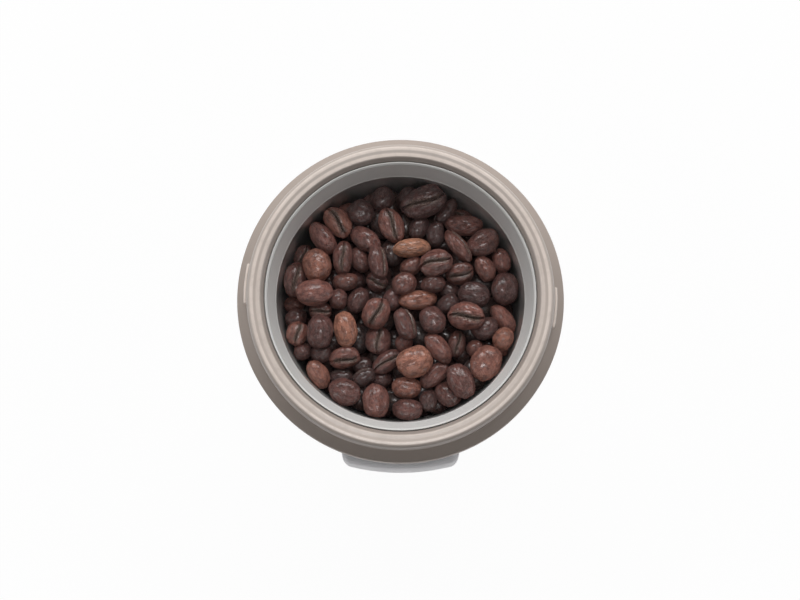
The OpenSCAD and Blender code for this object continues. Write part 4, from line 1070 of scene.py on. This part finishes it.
@dataclass
class Gland:
    """The rubber cord gland at the back: a flanged tube with a grip ring. Millimetres."""

    section: tuple[Corner, ...] = (
        (3.3, 0.0, 0.3), (5.1, 0.0, 0.4), (5.1, 6.4, 0.1), (6.8, 6.4, 0.2), (6.8, 7.9, 0.5),
        (6.1, 8.1, 0.15), (6.1, 8.5, 0.15), (6.3, 8.7, 0.2), (5.9, 10.0, 0.6), (3.3, 10.0, 0.5),
    )
    back_y: float = 37.71
    z: float = 16.0

    def build(self) -> None:
        """Turn the gland, point it backwards and dress it."""
        gland = Piece.turned("cord_gland_rubber", rounded(*self.section), 72).close()
        gland.put(shift(0, self.back_y, self.z) @ turn(-90, "X"))
        gland.dress("housing", "black_rubber", "cord_gland")


# ------------------------ press bar


@dataclass
class PressBar:
    """The press bar: a hollow cap with a crowned face, flange, spring cups and rib. Millimetres."""

    width: float = 40.0
    height: float = 24.0
    z: float = 70.0
    face_y: float = -50.13
    flange_y: float = -33.68
    back_y: float = -32.48
    flange_lap: float = 2.0
    flange_gap: float = 0.2
    through: float = 3.0
    corner: float = 3.0
    room_corner: float = 1.8
    edge: float = 2.7
    wall: float = 1.8
    face_r: float = 72.0
    crown_r: float = 60.0
    crown_depth: float = 3.0
    grid: float = 2.0
    spring_x: float = 14.2
    cup_r: tuple[float, float] = (2.9, 3.8)
    cup_y: tuple[float, float] = (-46.9, -42.98)
    rib_x: float = 8.13
    rib_y: tuple[float, float] = (-48.6, -42.17)
    rib: tuple[float, float] = (2.0, 4.0)

    def fall(self, at: Vector) -> Vector:
        """How far the crowned face has fallen back at a point."""
        across, up = at.x / MM, at.z / MM - self.z
        return Vector((0, (across**2 / (2 * self.face_r) + up**2 / (2 * self.crown_r)) * MM, 0))

    def block(self, name: str, grow: float, y0: float, y1: float, corner: float) -> Piece:
        """A block that faces -Y, with its long edges rounded.

        Args:
            name: The block's name.
            grow: How far it goes beyond the cap's outline on each side, in millimetres.
            y0: Its front.
            y1: Its back.
            corner: The radius of its long edges.

        Returns:
            The block, in edit mode.
        """
        made = Piece.added(
            name, bpy.ops.mesh.primitive_plane_add, size=MM, location=(0, y0 * MM, self.z * MM),
            rotation=(math.pi / 2, 0, 0),
        )
        made.pick(Pick.POINTS)
        made.scale(self.width + 2 * grow, 1.0, self.height + 2 * grow, about=(0, 0, self.z * MM))
        bpy.ops.mesh.bevel(affect="VERTICES", offset=corner * MM, segments=8, profile=0.5)
        made.pick(Pick.FACES)
        made.extrude(y=(y1 - y0) * MM)
        made.pick(Pick.FACES)
        bpy.ops.mesh.normals_make_consistent(inside=False)
        return made

    def crown(self, cap: Piece, face: float) -> Piece:
        """Cut the front face into a grid, bend it to its crown and close the piece."""
        for span, middle, way in ((self.width, 0.0, (1, 0, 0)), (self.height, self.z, (0, 0, 1))):
            count = int(span / 2 / self.grid)
            for i in range(-count + 1, count):
                cap.pick(Pick.POINTS)
                place = tuple(part * (middle + i * self.grid) * MM for part in way)
                bpy.ops.mesh.bisect(plane_co=place, plane_no=way)
        front = (face + self.crown_depth) * MM
        cap.bend(lambda at: at + self.fall(at) if at.y < front else at)
        return cap.close(40)

    def cups(self) -> list[Piece]:
        """The two cups that the springs sit in."""
        (r_in, r_out), (start, end) = self.cup_r, self.cup_y
        h = end - start
        section = ((r_in, 0.0, 0.1), (r_out, 0.0, 0.2), (r_out, h, 0.2), (r_in, h, 0.2))
        cup = Piece.turned("cup", rounded(*section), 32).close()
        ways = [shift(side * self.spring_x, start, self.z) @ turn(-90, "X") for side in (-1, 1)]
        made = [cup.copied(way) for way in ways]
        cup.spent()
        return made

    def build(self) -> None:
        """Build the cap, hollow it, add its flange, cups and rib, and dress it."""
        cap = self.block("press_bar_cap", 0.0, self.face_y, self.back_y, self.corner)
        front = (self.face_y + 0.01) * MM
        cap.pick(Pick.EDGES, lambda at, run: at.y < front and abs(run.y) < 1e-5, sharp=60)
        cap.bevel(self.edge * MM, 8)
        self.crown(cap, self.face_y)
        inner = self.face_y + self.wall
        room = self.block("room", -self.wall, inner, self.back_y + self.through, self.room_corner)
        cap.cut(self.crown(room, inner))
        flange = self.block("flange", self.flange_lap, self.flange_y, self.back_y, self.corner)
        flange.close()
        start, end = self.flange_y - self.through, self.back_y + self.through
        flange.cut(self.block("flange_hole", -self.flange_gap, start, end, self.corner).close())
        y0, y1 = self.rib_y
        across, up = self.rib
        rib = Piece.bar("rib", (self.rib_x, (y0 + y1) / 2, self.z), (across, y1 - y0, up))
        rib.pick(Pick.EDGES)
        rib.bevel(WIDEST, 2)
        others = [rib.close(), flange, *self.cups()]
        cap.joined(others).dress("press_bar", "button_plastic", "start_button")


@dataclass
class PressSprings:
    """The two coil springs behind the press bar, which shorten as it is pressed. Millimetres."""

    bar: PressBar
    wire_r: float = 0.35
    coil_r: float = 2.3
    turns: int = 7
    front_y: float = -43.85
    back_y: float = -27.18
    travel: float = 3.0
    slack: float = 0.1

    def build(self) -> None:
        """Wind one spring, copy it, dress the pair and give it a mesh of its own."""
        length = self.back_y - self.front_y
        spring = Piece.added(
            "press_springs", bpy.ops.mesh.primitive_circle_add, vertices=10,
            radius=self.wire_r * MM, location=(self.coil_r * MM, 0, self.wire_r * MM),
            rotation=(math.pi / 2, 0, 0),
        )
        bpy.ops.object.mode_set(mode="OBJECT")
        steps = 20 * self.turns
        spring.changed(
            "SCREW", axis="Z", angle=math.tau * self.turns, iterations=1, steps=steps,
            render_steps=steps, screw_offset=(length - 2 * self.wire_r) * MM,
        )
        bpy.ops.object.mode_set(mode="EDIT")
        spring.pick(Pick.EDGES)
        bpy.ops.mesh.fill_holes(sides=0)
        spring.close()
        lie = shift(0, self.front_y, self.bar.z) @ turn(-90, "X")
        other = spring.copied(shift(-self.bar.spring_x) @ lie)
        spring.put(shift(self.bar.spring_x) @ lie).joined([other])
        spring.dress("housing", "screw_steel", "button_springs")
        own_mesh(spring.thing)


# ------------------------ coffee beans


class Side(Enum):
    """Which side of a bean is up: its turn about its length, in degrees."""

    BACK = 0.0
    EDGE = 118.0
    CREASE = 180.0
    TILT = 208.0


BACK, EDGE, CREASE, TILT = Side

# Top layer, as the overhead sight shows it. In its picture points: from its left, from its top,
# length and width. Then turn of the length from +X, side, roast with painted shade (darker for
# beans that lie low), warmth, and layers up.
TOP_BEANS: list[tuple[float, float, float, float, float, Side, float, float, float]] = [
    (333.8, 221.1, 34, 23.5, -53, CREASE, 0.62, 0.45, 2.1),
    (319.5, 236.8, 36, 21, -54, BACK, 0.5, 0.35, 1.8),
    (360.9, 218.4, 27, 25, -40, BACK, 0.3, 0.35, 1.3),
    (361.3, 239.2, 34, 21, -35, BACK, 0.42, 0.45, 2.1),
    (390.4, 228, 35.5, 24.5, -68, CREASE, 0.5, 0.55, 2.1),
    (381.2, 198.3, 27, 23.5, 60, BACK, 0.3, 0.35, 1.2),
    (368.5, 192.1, 27, 18, 35, BACK, 0.3, 0.4, 0.6),
    (341.8, 205.7, 24, 17, 25, BACK, 0.4, 0.65, 0.6),
    (317.9, 265.1, 33.5, 28.5, -75, BACK, 0.6, 0.75, 2),
    (343, 261.5, 33.5, 19.5, 88, CREASE, 0.42, 0.5, 1.6),
    (361.7, 265.5, 26, 17, -70, BACK, 0.38, 0.45, 1),
    (381.1, 263.5, 36, 22, -80, EDGE, 0.4, 0.35, 2.1),
    (294.2, 281.8, 36, 22, 82, CREASE, 0.38, 0.4, 2),
    (295.9, 255.1, 24, 17, 70, CREASE, 0.35, 0.5, 1),
    (343, 285, 26, 18, 5, BACK, 0.42, 0.7, 1.2),
    (363.7, 279.4, 20, 15, -30, BACK, 0.28, 0.35, 0.8),
    (376.1, 286.6, 22, 17, -20, CREASE, 0.38, 0.35, 1.3),
    (317.9, 296.8, 36, 27, 4, BACK, 0.52, 0.4, 2),
    (410.8, 252.7, 38.5, 19, 5, BACK, 0.95, 0.85, 2.1),
    (404.6, 284.2, 25, 22, 30, BACK, 0.45, 0.5, 1.9),
    (408.6, 271.5, 24, 18, 30, BACK, 0.42, 0.75, 1.3),
    (424.1, 202.3, 46, 31.5, 20, CREASE, 0.3, 0.35, 3),
    (407, 190.1, 24, 18, 55, BACK, 0.22, 0.3, 0.9),
    (446, 208.1, 31, 17, 55, EDGE, 0.3, 0.4, 1.6),
    (417.3, 230.8, 25, 18, 65, BACK, 0.26, 0.35, 1.1),
    (433.3, 238, 26, 15.5, 85, BACK, 0.24, 0.2, 1.2),
    (467.9, 211.3, 23, 17, -25, CREASE, 0.35, 0.55, 0.9),
    (463.6, 227.2, 38, 21, -4, BACK, 0.42, 0.5, 2),
    (484.3, 244, 33, 26, 33, BACK, 0.38, 0.5, 1.9),
    (458.8, 250.3, 39, 19, -52, EDGE, 0.45, 0.6, 2.1),
    (436.1, 269.9, 33, 26.5, 17, CREASE, 0.42, 0.5, 2.1),
    (460, 277.4, 28.5, 22, 18, TILT, 0.4, 0.6, 2.3),
    (488.7, 270.3, 27, 19.5, -62, BACK, 0.48, 0.6, 1.4),
    (505.4, 261.1, 25, 15.5, -75, BACK, 0.5, 0.45, 1.6),
    (505.4, 289, 33, 27, 80, BACK, 0.33, 0.35, 2),
    (472.3, 295.4, 33, 25, -12, BACK, 0.3, 0.25, 1.8),
    (435.7, 288.6, 24, 15, 5, BACK, 0.35, 0.5, 1.1),
    (444.4, 294.6, 20, 14, -40, BACK, 0.25, 0.3, 0.8),
    (419.3, 300.8, 39, 20, 7, BACK, 0.62, 0.8, 2.2),
    (493.5, 259.1, 18, 14, 0, BACK, 0.25, 0.4, 0.6),
    (477.9, 270.7, 22, 15, 80, BACK, 0.25, 0.4, 0.6),
    (321.1, 333.1, 34, 26, 89, BACK, 0.36, 0.25, 2),
    (345.4, 330.9, 37, 23.5, -80, BACK, 0.72, 0.85, 2.1),
    (377.3, 317.5, 32, 27, 66, CREASE, 0.52, 0.45, 2.3),
    (379.8, 341.6, 29, 25, 88, CREASE, 0.4, 0.4, 1.6),
    (357.3, 303.8, 28, 20, 60, BACK, 0.33, 0.4, 1.3),
    (337.4, 302.2, 20, 13, 80, BACK, 0.4, 0.35, 0.9),
    (296.3, 318.1, 22, 17, 15, BACK, 0.33, 0.35, 1.2),
    (293.2, 307, 20, 14, 10, BACK, 0.38, 0.65, 0.8),
    (295.8, 335.3, 25, 22, 80, CREASE, 0.5, 0.75, 1.8),
    (300.3, 353.6, 17, 12, -70, BACK, 0.35, 0.4, 1),
    (317.5, 354.4, 22, 15, 0, BACK, 0.3, 0.3, 1.1),
    (320.3, 314.5, 22, 14, 5, CREASE, 0.42, 0.5, 1.2),
    (345, 359.6, 31, 23, 12, TILT, 0.48, 0.55, 2),
    (316.3, 374.7, 31, 19, -55, BACK, 0.58, 0.75, 2),
    (383.6, 363.7, 34, 19, 33, CREASE, 0.38, 0.45, 1.8),
    (345.4, 394, 32, 26, -20, BACK, 0.38, 0.35, 2),
    (375.3, 401, 34, 27.5, -80, BACK, 0.45, 0.5, 2.1),
    (380.8, 382.7, 22, 15, 10, BACK, 0.3, 0.4, 1.1),
    (343.8, 375.5, 24, 14, 5, EDGE, 0.2, 0.3, 0.8),
    (363.7, 379.5, 24, 14, 30, EDGE, 0.22, 0.3, 0.9),
    (363.7, 367.1, 20, 13, 8, BACK, 0.22, 0.3, 0.7),
    (406.5, 389.5, 30, 22, -3, BACK, 0.55, 0.75, 2.1),
    (416.5, 362, 37, 31, 22, BACK, 0.72, 0.7, 2.4),
    (403, 344.5, 17, 14, -50, BACK, 0.45, 0.4, 1.1),
    (394.5, 299, 22, 12, 88, BACK, 0.4, 0.1, 0.9),
    (409.5, 410, 30, 21, -3, BACK, 0.38, 0.35, 1.4),
    (408.2, 328.1, 34, 25, -66, EDGE, 0.38, 0.35, 2.1),
    (434.9, 322.9, 29.5, 25, -60, BACK, 0.38, 0.3, 1.9),
    (435.3, 344.8, 36, 20, -52, BACK, 0.48, 0.55, 2.4),
    (454.8, 346, 27, 17, 80, CREASE, 0.38, 0.55, 1.4),
    (469, 320.9, 37, 28, -4, CREASE, 0.5, 0.55, 2.6),
    (480.7, 331.3, 28, 22, 20, BACK, 0.32, 0.35, 1.5),
    (504.6, 320.1, 33.5, 18, -50, BACK, 0.52, 0.55, 1.9),
    (498.6, 342.8, 24, 20, 68, BACK, 0.62, 0.8, 1.8),
    (502.2, 354.4, 16, 12, 60, BACK, 0.4, 0.7, 1.2),
    (483.1, 366.4, 37, 30, 62, BACK, 0.56, 0.65, 2.3),
    (462.4, 381.9, 36, 26, -64, BACK, 0.4, 0.4, 2.1),
    (433.3, 375.5, 34, 19, 40, BACK, 0.42, 0.5, 1.8),
    (447.2, 393.5, 27, 22, -40, BACK, 0.35, 0.5, 1.3),
    (427.7, 403, 22, 14, 85, BACK, 0.28, 0.5, 1),
    (440.4, 409, 20, 14, 0, BACK, 0.18, 0.3, 0.7),
    (473.9, 352, 18, 14, 20, BACK, 0.42, 0.6, 1.1),
    (466, 355.6, 20, 15, 40, BACK, 0.15, 0.6, 0.6),
    (443.6, 306, 22, 13, 40, BACK, 0.28, 0.3, 1),
]


@dataclass(frozen=True)
class OverheadSight:
    """An eye in front of the bowl and high above it. Millimetres, degrees and picture points."""

    middle: tuple[float, float] = (400.5, 294.8)
    focal: float = 1499.0
    distance: float = 450.0
    up: float = 81.0
    aimed_z: float = 150.0
    rounds: int = 20

    def place(self, left: float, top: float, z: float) -> tuple[float, float, float]:
        """Find what a picture point shows at a height.

        Args:
            left: Points from the picture's left edge.
            top: Points from its top edge.
            z: The height of what it shows.

        Returns:
            Its x and y, and how many millimetres a point spans there.
        """
        rise, level = math.sin(math.radians(self.up)), math.cos(math.radians(self.up))
        below = self.aimed_z - z
        y, far = 0.0, self.distance
        for _ in range(self.rounds):
            far = self.distance + below * rise + y * level
            y = (below * level - (top - self.middle[1]) * far / self.focal) / rise
        return (left - self.middle[0]) * far / self.focal, y, far / self.focal


@dataclass
class Bean:
    """One bean's place and make, and how freely it gives way along each axis. Millimetres."""

    centre: np.ndarray
    half: np.ndarray
    turn: np.ndarray
    # How light the bean is: partly its roast, and partly painted shade that makes beans lying low
    # darker.
    roast: float
    warm: float
    seed: float
    give: np.ndarray

    def reach(self, way: np.ndarray) -> float:
        """From the middle to the skin along a unit direction."""
        return float(1.0 / np.linalg.norm((self.turn.T @ way) / self.half))

    def support(self, way: np.ndarray) -> float:
        """How far the bean extends along a unit direction."""
        return float(np.linalg.norm((self.turn.T @ way) * self.half))

    def place(self) -> Matrix:
        """The matrix that puts a bean modelled in half sizes in its place, in metres."""
        made = np.eye(4)
        made[:3, :3] = self.turn * MM
        made[:3, 3] = self.centre * MM
        return Matrix(made.tolist())


@dataclass
class CoffeeBeans:
    """The roasted beans, from just above the blade to their rounded top. Millimetres."""

    bowl: Bowl
    sight: OverheadSight = OverheadSight()
    top_z: float = 128.3
    layer: float = 2.6
    low_z: float = 117.4
    layers: tuple[float, ...] = (121.0, 125.2, 129.4)
    pitch: float = 8.6
    rows: int = 5
    row_pitch: float = 0.87
    layer_shift: tuple[float, float] = (2.7, 1.9)
    stray: float = 1.2
    margin: float = 3.0
    thickness: Triple = (0.66, 4.6, 6.0)
    least_width: float = 5.6
    held: Triple = (0.12, 0.12, 0.5)
    near: float = 15.0
    touching: float = 11.5
    wall_gap: float = 0.25
    rounds: int = 60
    seed: int = 11
    back: float = 1.28
    belly: float = 0.84
    lobe: float = 0.13
    crease_half: float = 0.12
    crease_depth: float = 0.5

    def lie(self, turned: float, roll: float, tip: float) -> np.ndarray:
        """The rotation of a bean: rolled about its length, tipped up, then turned round Z."""
        return np.array((turn(turned) @ turn(tip, "Y") @ turn(roll, "X")).to_3x3())

    def top(self, dice: random.Random) -> list[Bean]:
        """The beans that show, each to a tenth of a millimetre; they give way less than the bed."""
        beans = []
        share, thinnest, thickest = self.thickness
        for left, top, long, wide, turned, side, roast, warm, layers in TOP_BEANS:
            z = round(self.top_z + self.layer * layers, 1)
            x, y, point = self.sight.place(left, top, self.top_z + self.layer * layers)
            x, y, length, width = (round(size, 1) for size in (x, y, long * point, wide * point))
            roll = side.value + dice.uniform(-14, 14)
            thick = min(max(share * width, thinnest), thickest)
            half = np.array([length, max(width, self.least_width), thick]) / 2
            lie, seed = self.lie(turned, roll, dice.uniform(-9, 9)), dice.random()
            held = np.array(self.held)
            beans.append(Bean(np.array([x, y, z]), half, lie, roast, warm, seed, held))
        return beans

    def bed(self, dice: random.Random) -> list[Bean]:
        """The beans underneath, in loose layers."""
        beans = []
        cells = range(-self.rows, self.rows + 1)
        for (n, z), i, j in itertools.product(enumerate(self.layers), cells, cells):
            across, along = (n * step for step in self.layer_shift)
            x = (i + 0.5 * (j % 2)) * self.pitch + across + dice.uniform(-self.stray, self.stray)
            y = j * self.pitch * self.row_pitch + along + dice.uniform(-self.stray, self.stray)
            if math.hypot(x, y) > self.bowl.wall_r(z) - self.margin:
                continue
            half = np.array([dice.uniform(*span) for span in ((4.7, 5.6), (3.6, 4.2), (2.5, 2.9))])
            turned, side = dice.uniform(0, 360), dice.choice((0, 180))
            lie = self.lie(turned, side + dice.uniform(-30, 30), dice.uniform(-20, 20))
            # Painted shade: the bed's beans under the top layer get a darker roast than the top
            # layer.
            roast, warm, seed = dice.uniform(0.04, 0.17), dice.uniform(0.3, 0.6), dice.random()
            beans.append(Bean(np.array([x, y, z]), half, lie, roast, warm, seed, np.ones(3)))
        return beans

    def part(self, beans: list[Bean]) -> None:
        """Push the beans apart until they rest on each other, in the wall and above the blade."""
        up = np.array([0.0, 0.0, 1.0])
        pairs = [
            (one, other) for one, other in itertools.combinations(beans, 2)
            if np.linalg.norm(other.centre - one.centre) < self.near
        ]
        for _ in range(self.rounds):
            for one, other in pairs:
                gap = other.centre - one.centre
                far = float(np.linalg.norm(gap))
                if not 1e-6 <= far <= self.touching:
                    continue
                way = gap / far
                over = max(one.reach(way) + other.reach(way) - far, 0.0)
                one.centre = one.centre - way * over / 2 * one.give
                other.centre = other.centre + way * over / 2 * other.give
            for bean in beans:
                flat = float(np.hypot(*bean.centre[:2]))
                outward = np.array([*(bean.centre[:2] / max(flat, 1e-6)), 0.0])
                room = self.bowl.wall_r(bean.centre[2]) - self.wall_gap - bean.support(outward)
                if flat > room:
                    bean.centre[:2] *= room / flat
                bean.centre[2] = max(bean.centre[2], self.low_z + bean.support(up))

    @staticmethod
    def blunt(at: Vector) -> Vector:
        """Lay a ball's poles along X and blunt them."""
        round_r = math.sqrt(max(1 - at.z**2, 0.0))
        swell = math.sqrt(1 - abs(at.z) ** 2.3) / round_r if round_r > 0.01 else 1.0
        return Vector((at.z, at.y * swell, -at.x * swell))

    def form(self, at: Vector) -> Vector:
        """Raise the back, flatten the belly to a lobe on each side of the crease, and wave it."""
        if at.z >= 0:
            return Vector((at.x, at.y, at.z * self.back))
        wave = CREASE_WAVE * math.sin(math.pi * at.x) * max(0.0, 1 - abs(at.y) / 0.5)
        lobe = self.lobe * math.exp(-(((abs(at.y) - 0.4) / 0.22) ** 2)) * (1 - at.x**2)
        return Vector((at.x, at.y + wave, at.z * self.belly - lobe))

    def shape(self, name: str, around: int, along: int, carved: bool) -> Piece:
        """A bean in half sizes: domed back, flatter belly, crease along it.

        Args:
            name: The mesh's name.
            around: Steps round the bean.
            along: Steps from end to end.
            carved: Whether the crease is cut.

        Returns:
            The closed bean.
        """
        ball = bpy.ops.mesh.primitive_uv_sphere_add
        bean = Piece.added(name, ball, segments=around, ring_count=along, radius=1.0)
        bean.bend(self.blunt)
        if carved:
            bean.pick(Pick.EDGES, lambda at, _: abs(at.y) < 0.01 and at.z < 0 and abs(at.x) < 0.93)
            bpy.ops.mesh.bevel(offset=self.crease_half, segments=2, profile=0.5)
            bean.pick(Pick.POINTS, lambda at, _: abs(at.y) < 0.02 and at.z < 0 and abs(at.x) < 0.9)
            bean.move(z=self.crease_depth)
        bean.bend(self.form)
        return bean.close(60)

    def laid(self, shape: Piece, bean: Bean) -> Piece:
        """A copy of the shape with this bean's own skin, size and place."""
        twin = shape.copied(Matrix.Identity(4))
        mesh = twin.thing.data
        mesh.attributes.new("bean_place", "FLOAT_VECTOR", "POINT")
        mesh.attributes.new("roast", "FLOAT_COLOR", "POINT")
        own, tone = mesh.attributes["bean_place"], mesh.attributes["roast"]
        offset = Vector((bean.seed * 90, bean.seed * 31, 0))
        rough = 0.05 + 0.05 * (1 - bean.roast)
        lean = bean.seed - 0.5
        for point, place, colour in zip(mesh.vertices, own.data, tone.data):
            at = point.co.copy()
            place.vector = at
            colour.color = (bean.roast, bean.warm, bean.seed, 1.0)
            lump = noise.noise(at * 1.3 + offset) * 1.1 + noise.noise(at * 3.4 + offset) * 0.6
            at = at * (1 + lump * rough)
            at.y += 0.22 * lean * at.x**2
            at.z += 0.1 * lean * at.x
            point.co = Vector(part * half for part, half in zip(at, bean.half))
        return twin.put(bean.place())

    def build(self) -> None:
        """Lay the beans and dress them in two pieces, the layer that shows and the bed below it."""
        dice = random.Random(self.seed)
        top, bed = self.top(dice), self.bed(dice)
        self.part(top + bed)
        for name, beans, shape in (
            ("coffee_beans_top", top, self.shape("bean", 32, 20, True)),
            ("coffee_beans_below", bed, self.shape("plain_bean", 10, 7, False)),
        ):
            laid = [self.laid(shape, bean) for bean in beans]
            shape.spent()
            whole = laid[0].joined(laid[1:])
            whole.thing.name = whole.thing.data.name = name
            whole.dress("housing", "roasted_skin")


# ------------------------ carried-over nodes


@dataclass
class Inside:
    """The frame's own nodes that stay as they are, and only get a finish."""

    def build(self) -> None:
        """Dress each node by its slot in the record."""
        slots = {row["node"]: row["material_slot"] for row in frame["record"]["subparts"]}
        for name, thing in sorted(frame["nodes"].items()):
            material = FINISHES[slots[name]].material()
            for slot in thing.material_slots:
                slot.material = material
            log.info("%s: finished as %s", name, material.name)


# ------------------------ studio


@dataclass(frozen=True)
class Lamp:
    """A soft lamp: its place and size in metres, its power, and whether reflections show it."""

    name: str
    place: Triple
    size: tuple[float, float]
    power: float
    reflected: bool = True

    def hang(self, target: Vector) -> None:
        """Hang the lamp so that it faces the target."""
        bpy.ops.object.select_all(action="DESELECT")
        facing = (target - Vector(self.place)).to_track_quat("-Z", "Y").to_euler()
        bpy.ops.object.light_add(type="AREA", location=self.place, rotation=facing)
        lamp = bpy.context.object
        lamp.name = lamp.data.name = self.name
        lamp.data.shape = "RECTANGLE"
        lamp.data.size, lamp.data.size_y = self.size
        lamp.data.energy = self.power
        lamp.visible_camera = False
        lamp.visible_glossy = self.reflected


@dataclass
class Studio:
    """The camera, the lamps, the room's light and the floor. Metres."""

    camera_far: float = 0.45
    camera_up: float = 81.0
    aim_z: float = 0.150
    lens: float = 67.7
    sensor: float = 36.0
    shift_px: tuple[float, float] = (-0.5, -6.3)
    width_px: float = 800.0
    lamps: tuple[Lamp, ...] = (
        Lamp("key_lamp", (0.0, 0.88, 0.87), (1.6, 0.5), 15.0),
        Lamp("left_lamp", (-0.83, 0.05, 0.36), (0.5, 0.4), 0.9775),
        Lamp("right_lamp", (0.83, 0.05, 0.36), (0.5, 0.4), 0.85),
        Lamp("overhead_lamp", (0.0, -0.06, 1.2), (0.3, 0.16), 2.3),
        Lamp("low_front_lamp", (0.0, -0.17, 0.02), (0.4, 0.03), 0.09, reflected=False),
    )
    sky: float = 0.04
    sky_tint: Colour = (0.97, 0.98, 1.0)
    floor_size: float = 8.0
    floor_grey: float = 0.72
    fade_r: tuple[float, float] = (0.10, 0.34)
    fade_from: float = 0.965

    def camera(self) -> None:
        """Set the camera almost straight above, leaning a little to the front."""
        up = math.radians(self.camera_up)
        place = (0.0, -self.camera_far * math.cos(up), self.aim_z + self.camera_far * math.sin(up))
        bpy.ops.object.select_all(action="DESELECT")
        bpy.ops.object.camera_add(location=place, rotation=(math.pi / 2 - up, 0.0, 0.0))
        camera = bpy.context.object
        camera.data.lens = self.lens
        camera.data.sensor_width = self.sensor
        camera.data.shift_x, camera.data.shift_y = (px / self.width_px for px in self.shift_px)
        camera.data.clip_start = 0.01
        bpy.context.scene.camera = camera

    def world(self) -> None:
        """Light the room evenly, and show it white to the camera and in reflections."""
        world = bpy.data.worlds.new("room")
        bpy.context.scene.world = world
        world.use_nodes = True
        world.node_tree.nodes.clear()
        g = Graph(world.node_tree)
        dim = g.node("ShaderNodeBackground", inputs={"Color": self.sky_tint, "Strength": self.sky})
        white = g.node("ShaderNodeBackground", inputs={"Color": PLAIN_WHITE, "Strength": 1.0})
        seen = g.node("ShaderNodeMixShader", inputs={0: g.shows_white(), 1: dim, 2: white})
        g.node("ShaderNodeOutputWorld", inputs={"Surface": seen})

    def floor(self) -> None:
        """Lay a pale floor that keeps a soft shadow and runs out to plain white."""
        bpy.ops.object.select_all(action="DESELECT")
        bpy.ops.mesh.primitive_plane_add(size=self.floor_size)
        floor = bpy.context.object
        floor.name = floor.data.name = "floor"
        grey = (self.floor_grey, self.floor_grey, self.floor_grey, 1.0)
        g = Surface("pale_floor", Base_Color=grey, Roughness=0.9, Specular_IOR_Level=0.1)
        far = g.ramped(g.polar()[0], *self.fade_r, self.fade_from, 1.0)
        white = g.node("ShaderNodeEmission", inputs={"Color": PLAIN_WHITE, "Strength": 1.0})
        lit = Wire(g, g.shader.outputs[0])
        seen = g.node("ShaderNodeMixShader", inputs={0: g.shows_white() * far, 1: lit, 2: white})
        g.join(seen, g.tree.nodes["Material Output"].inputs["Surface"])
        floor.data.materials.append(g.material)

    def build(self) -> None:
        """Set up the whole studio."""
        bpy.context.scene.view_settings.view_transform = "Standard"
        self.camera()
        for lamp in self.lamps:
            lamp.hang(Vector((0, 0, self.aim_z)))
        self.world()
        self.floor()


def main() -> None:
    """Build the grinder and its studio, in order."""
    logging.basicConfig(level=logging.INFO, format="%(message)s")
    Studio().build()
    Inside().build()
    bowl, bar = Bowl(), PressBar()
    for part in (
        TopRing(), bowl, Housing(), Feet(), Gland(), bar, PressSprings(bar), CoffeeBeans(bowl),
    ):
        part.build()


if __name__ == "__main__":
    main()
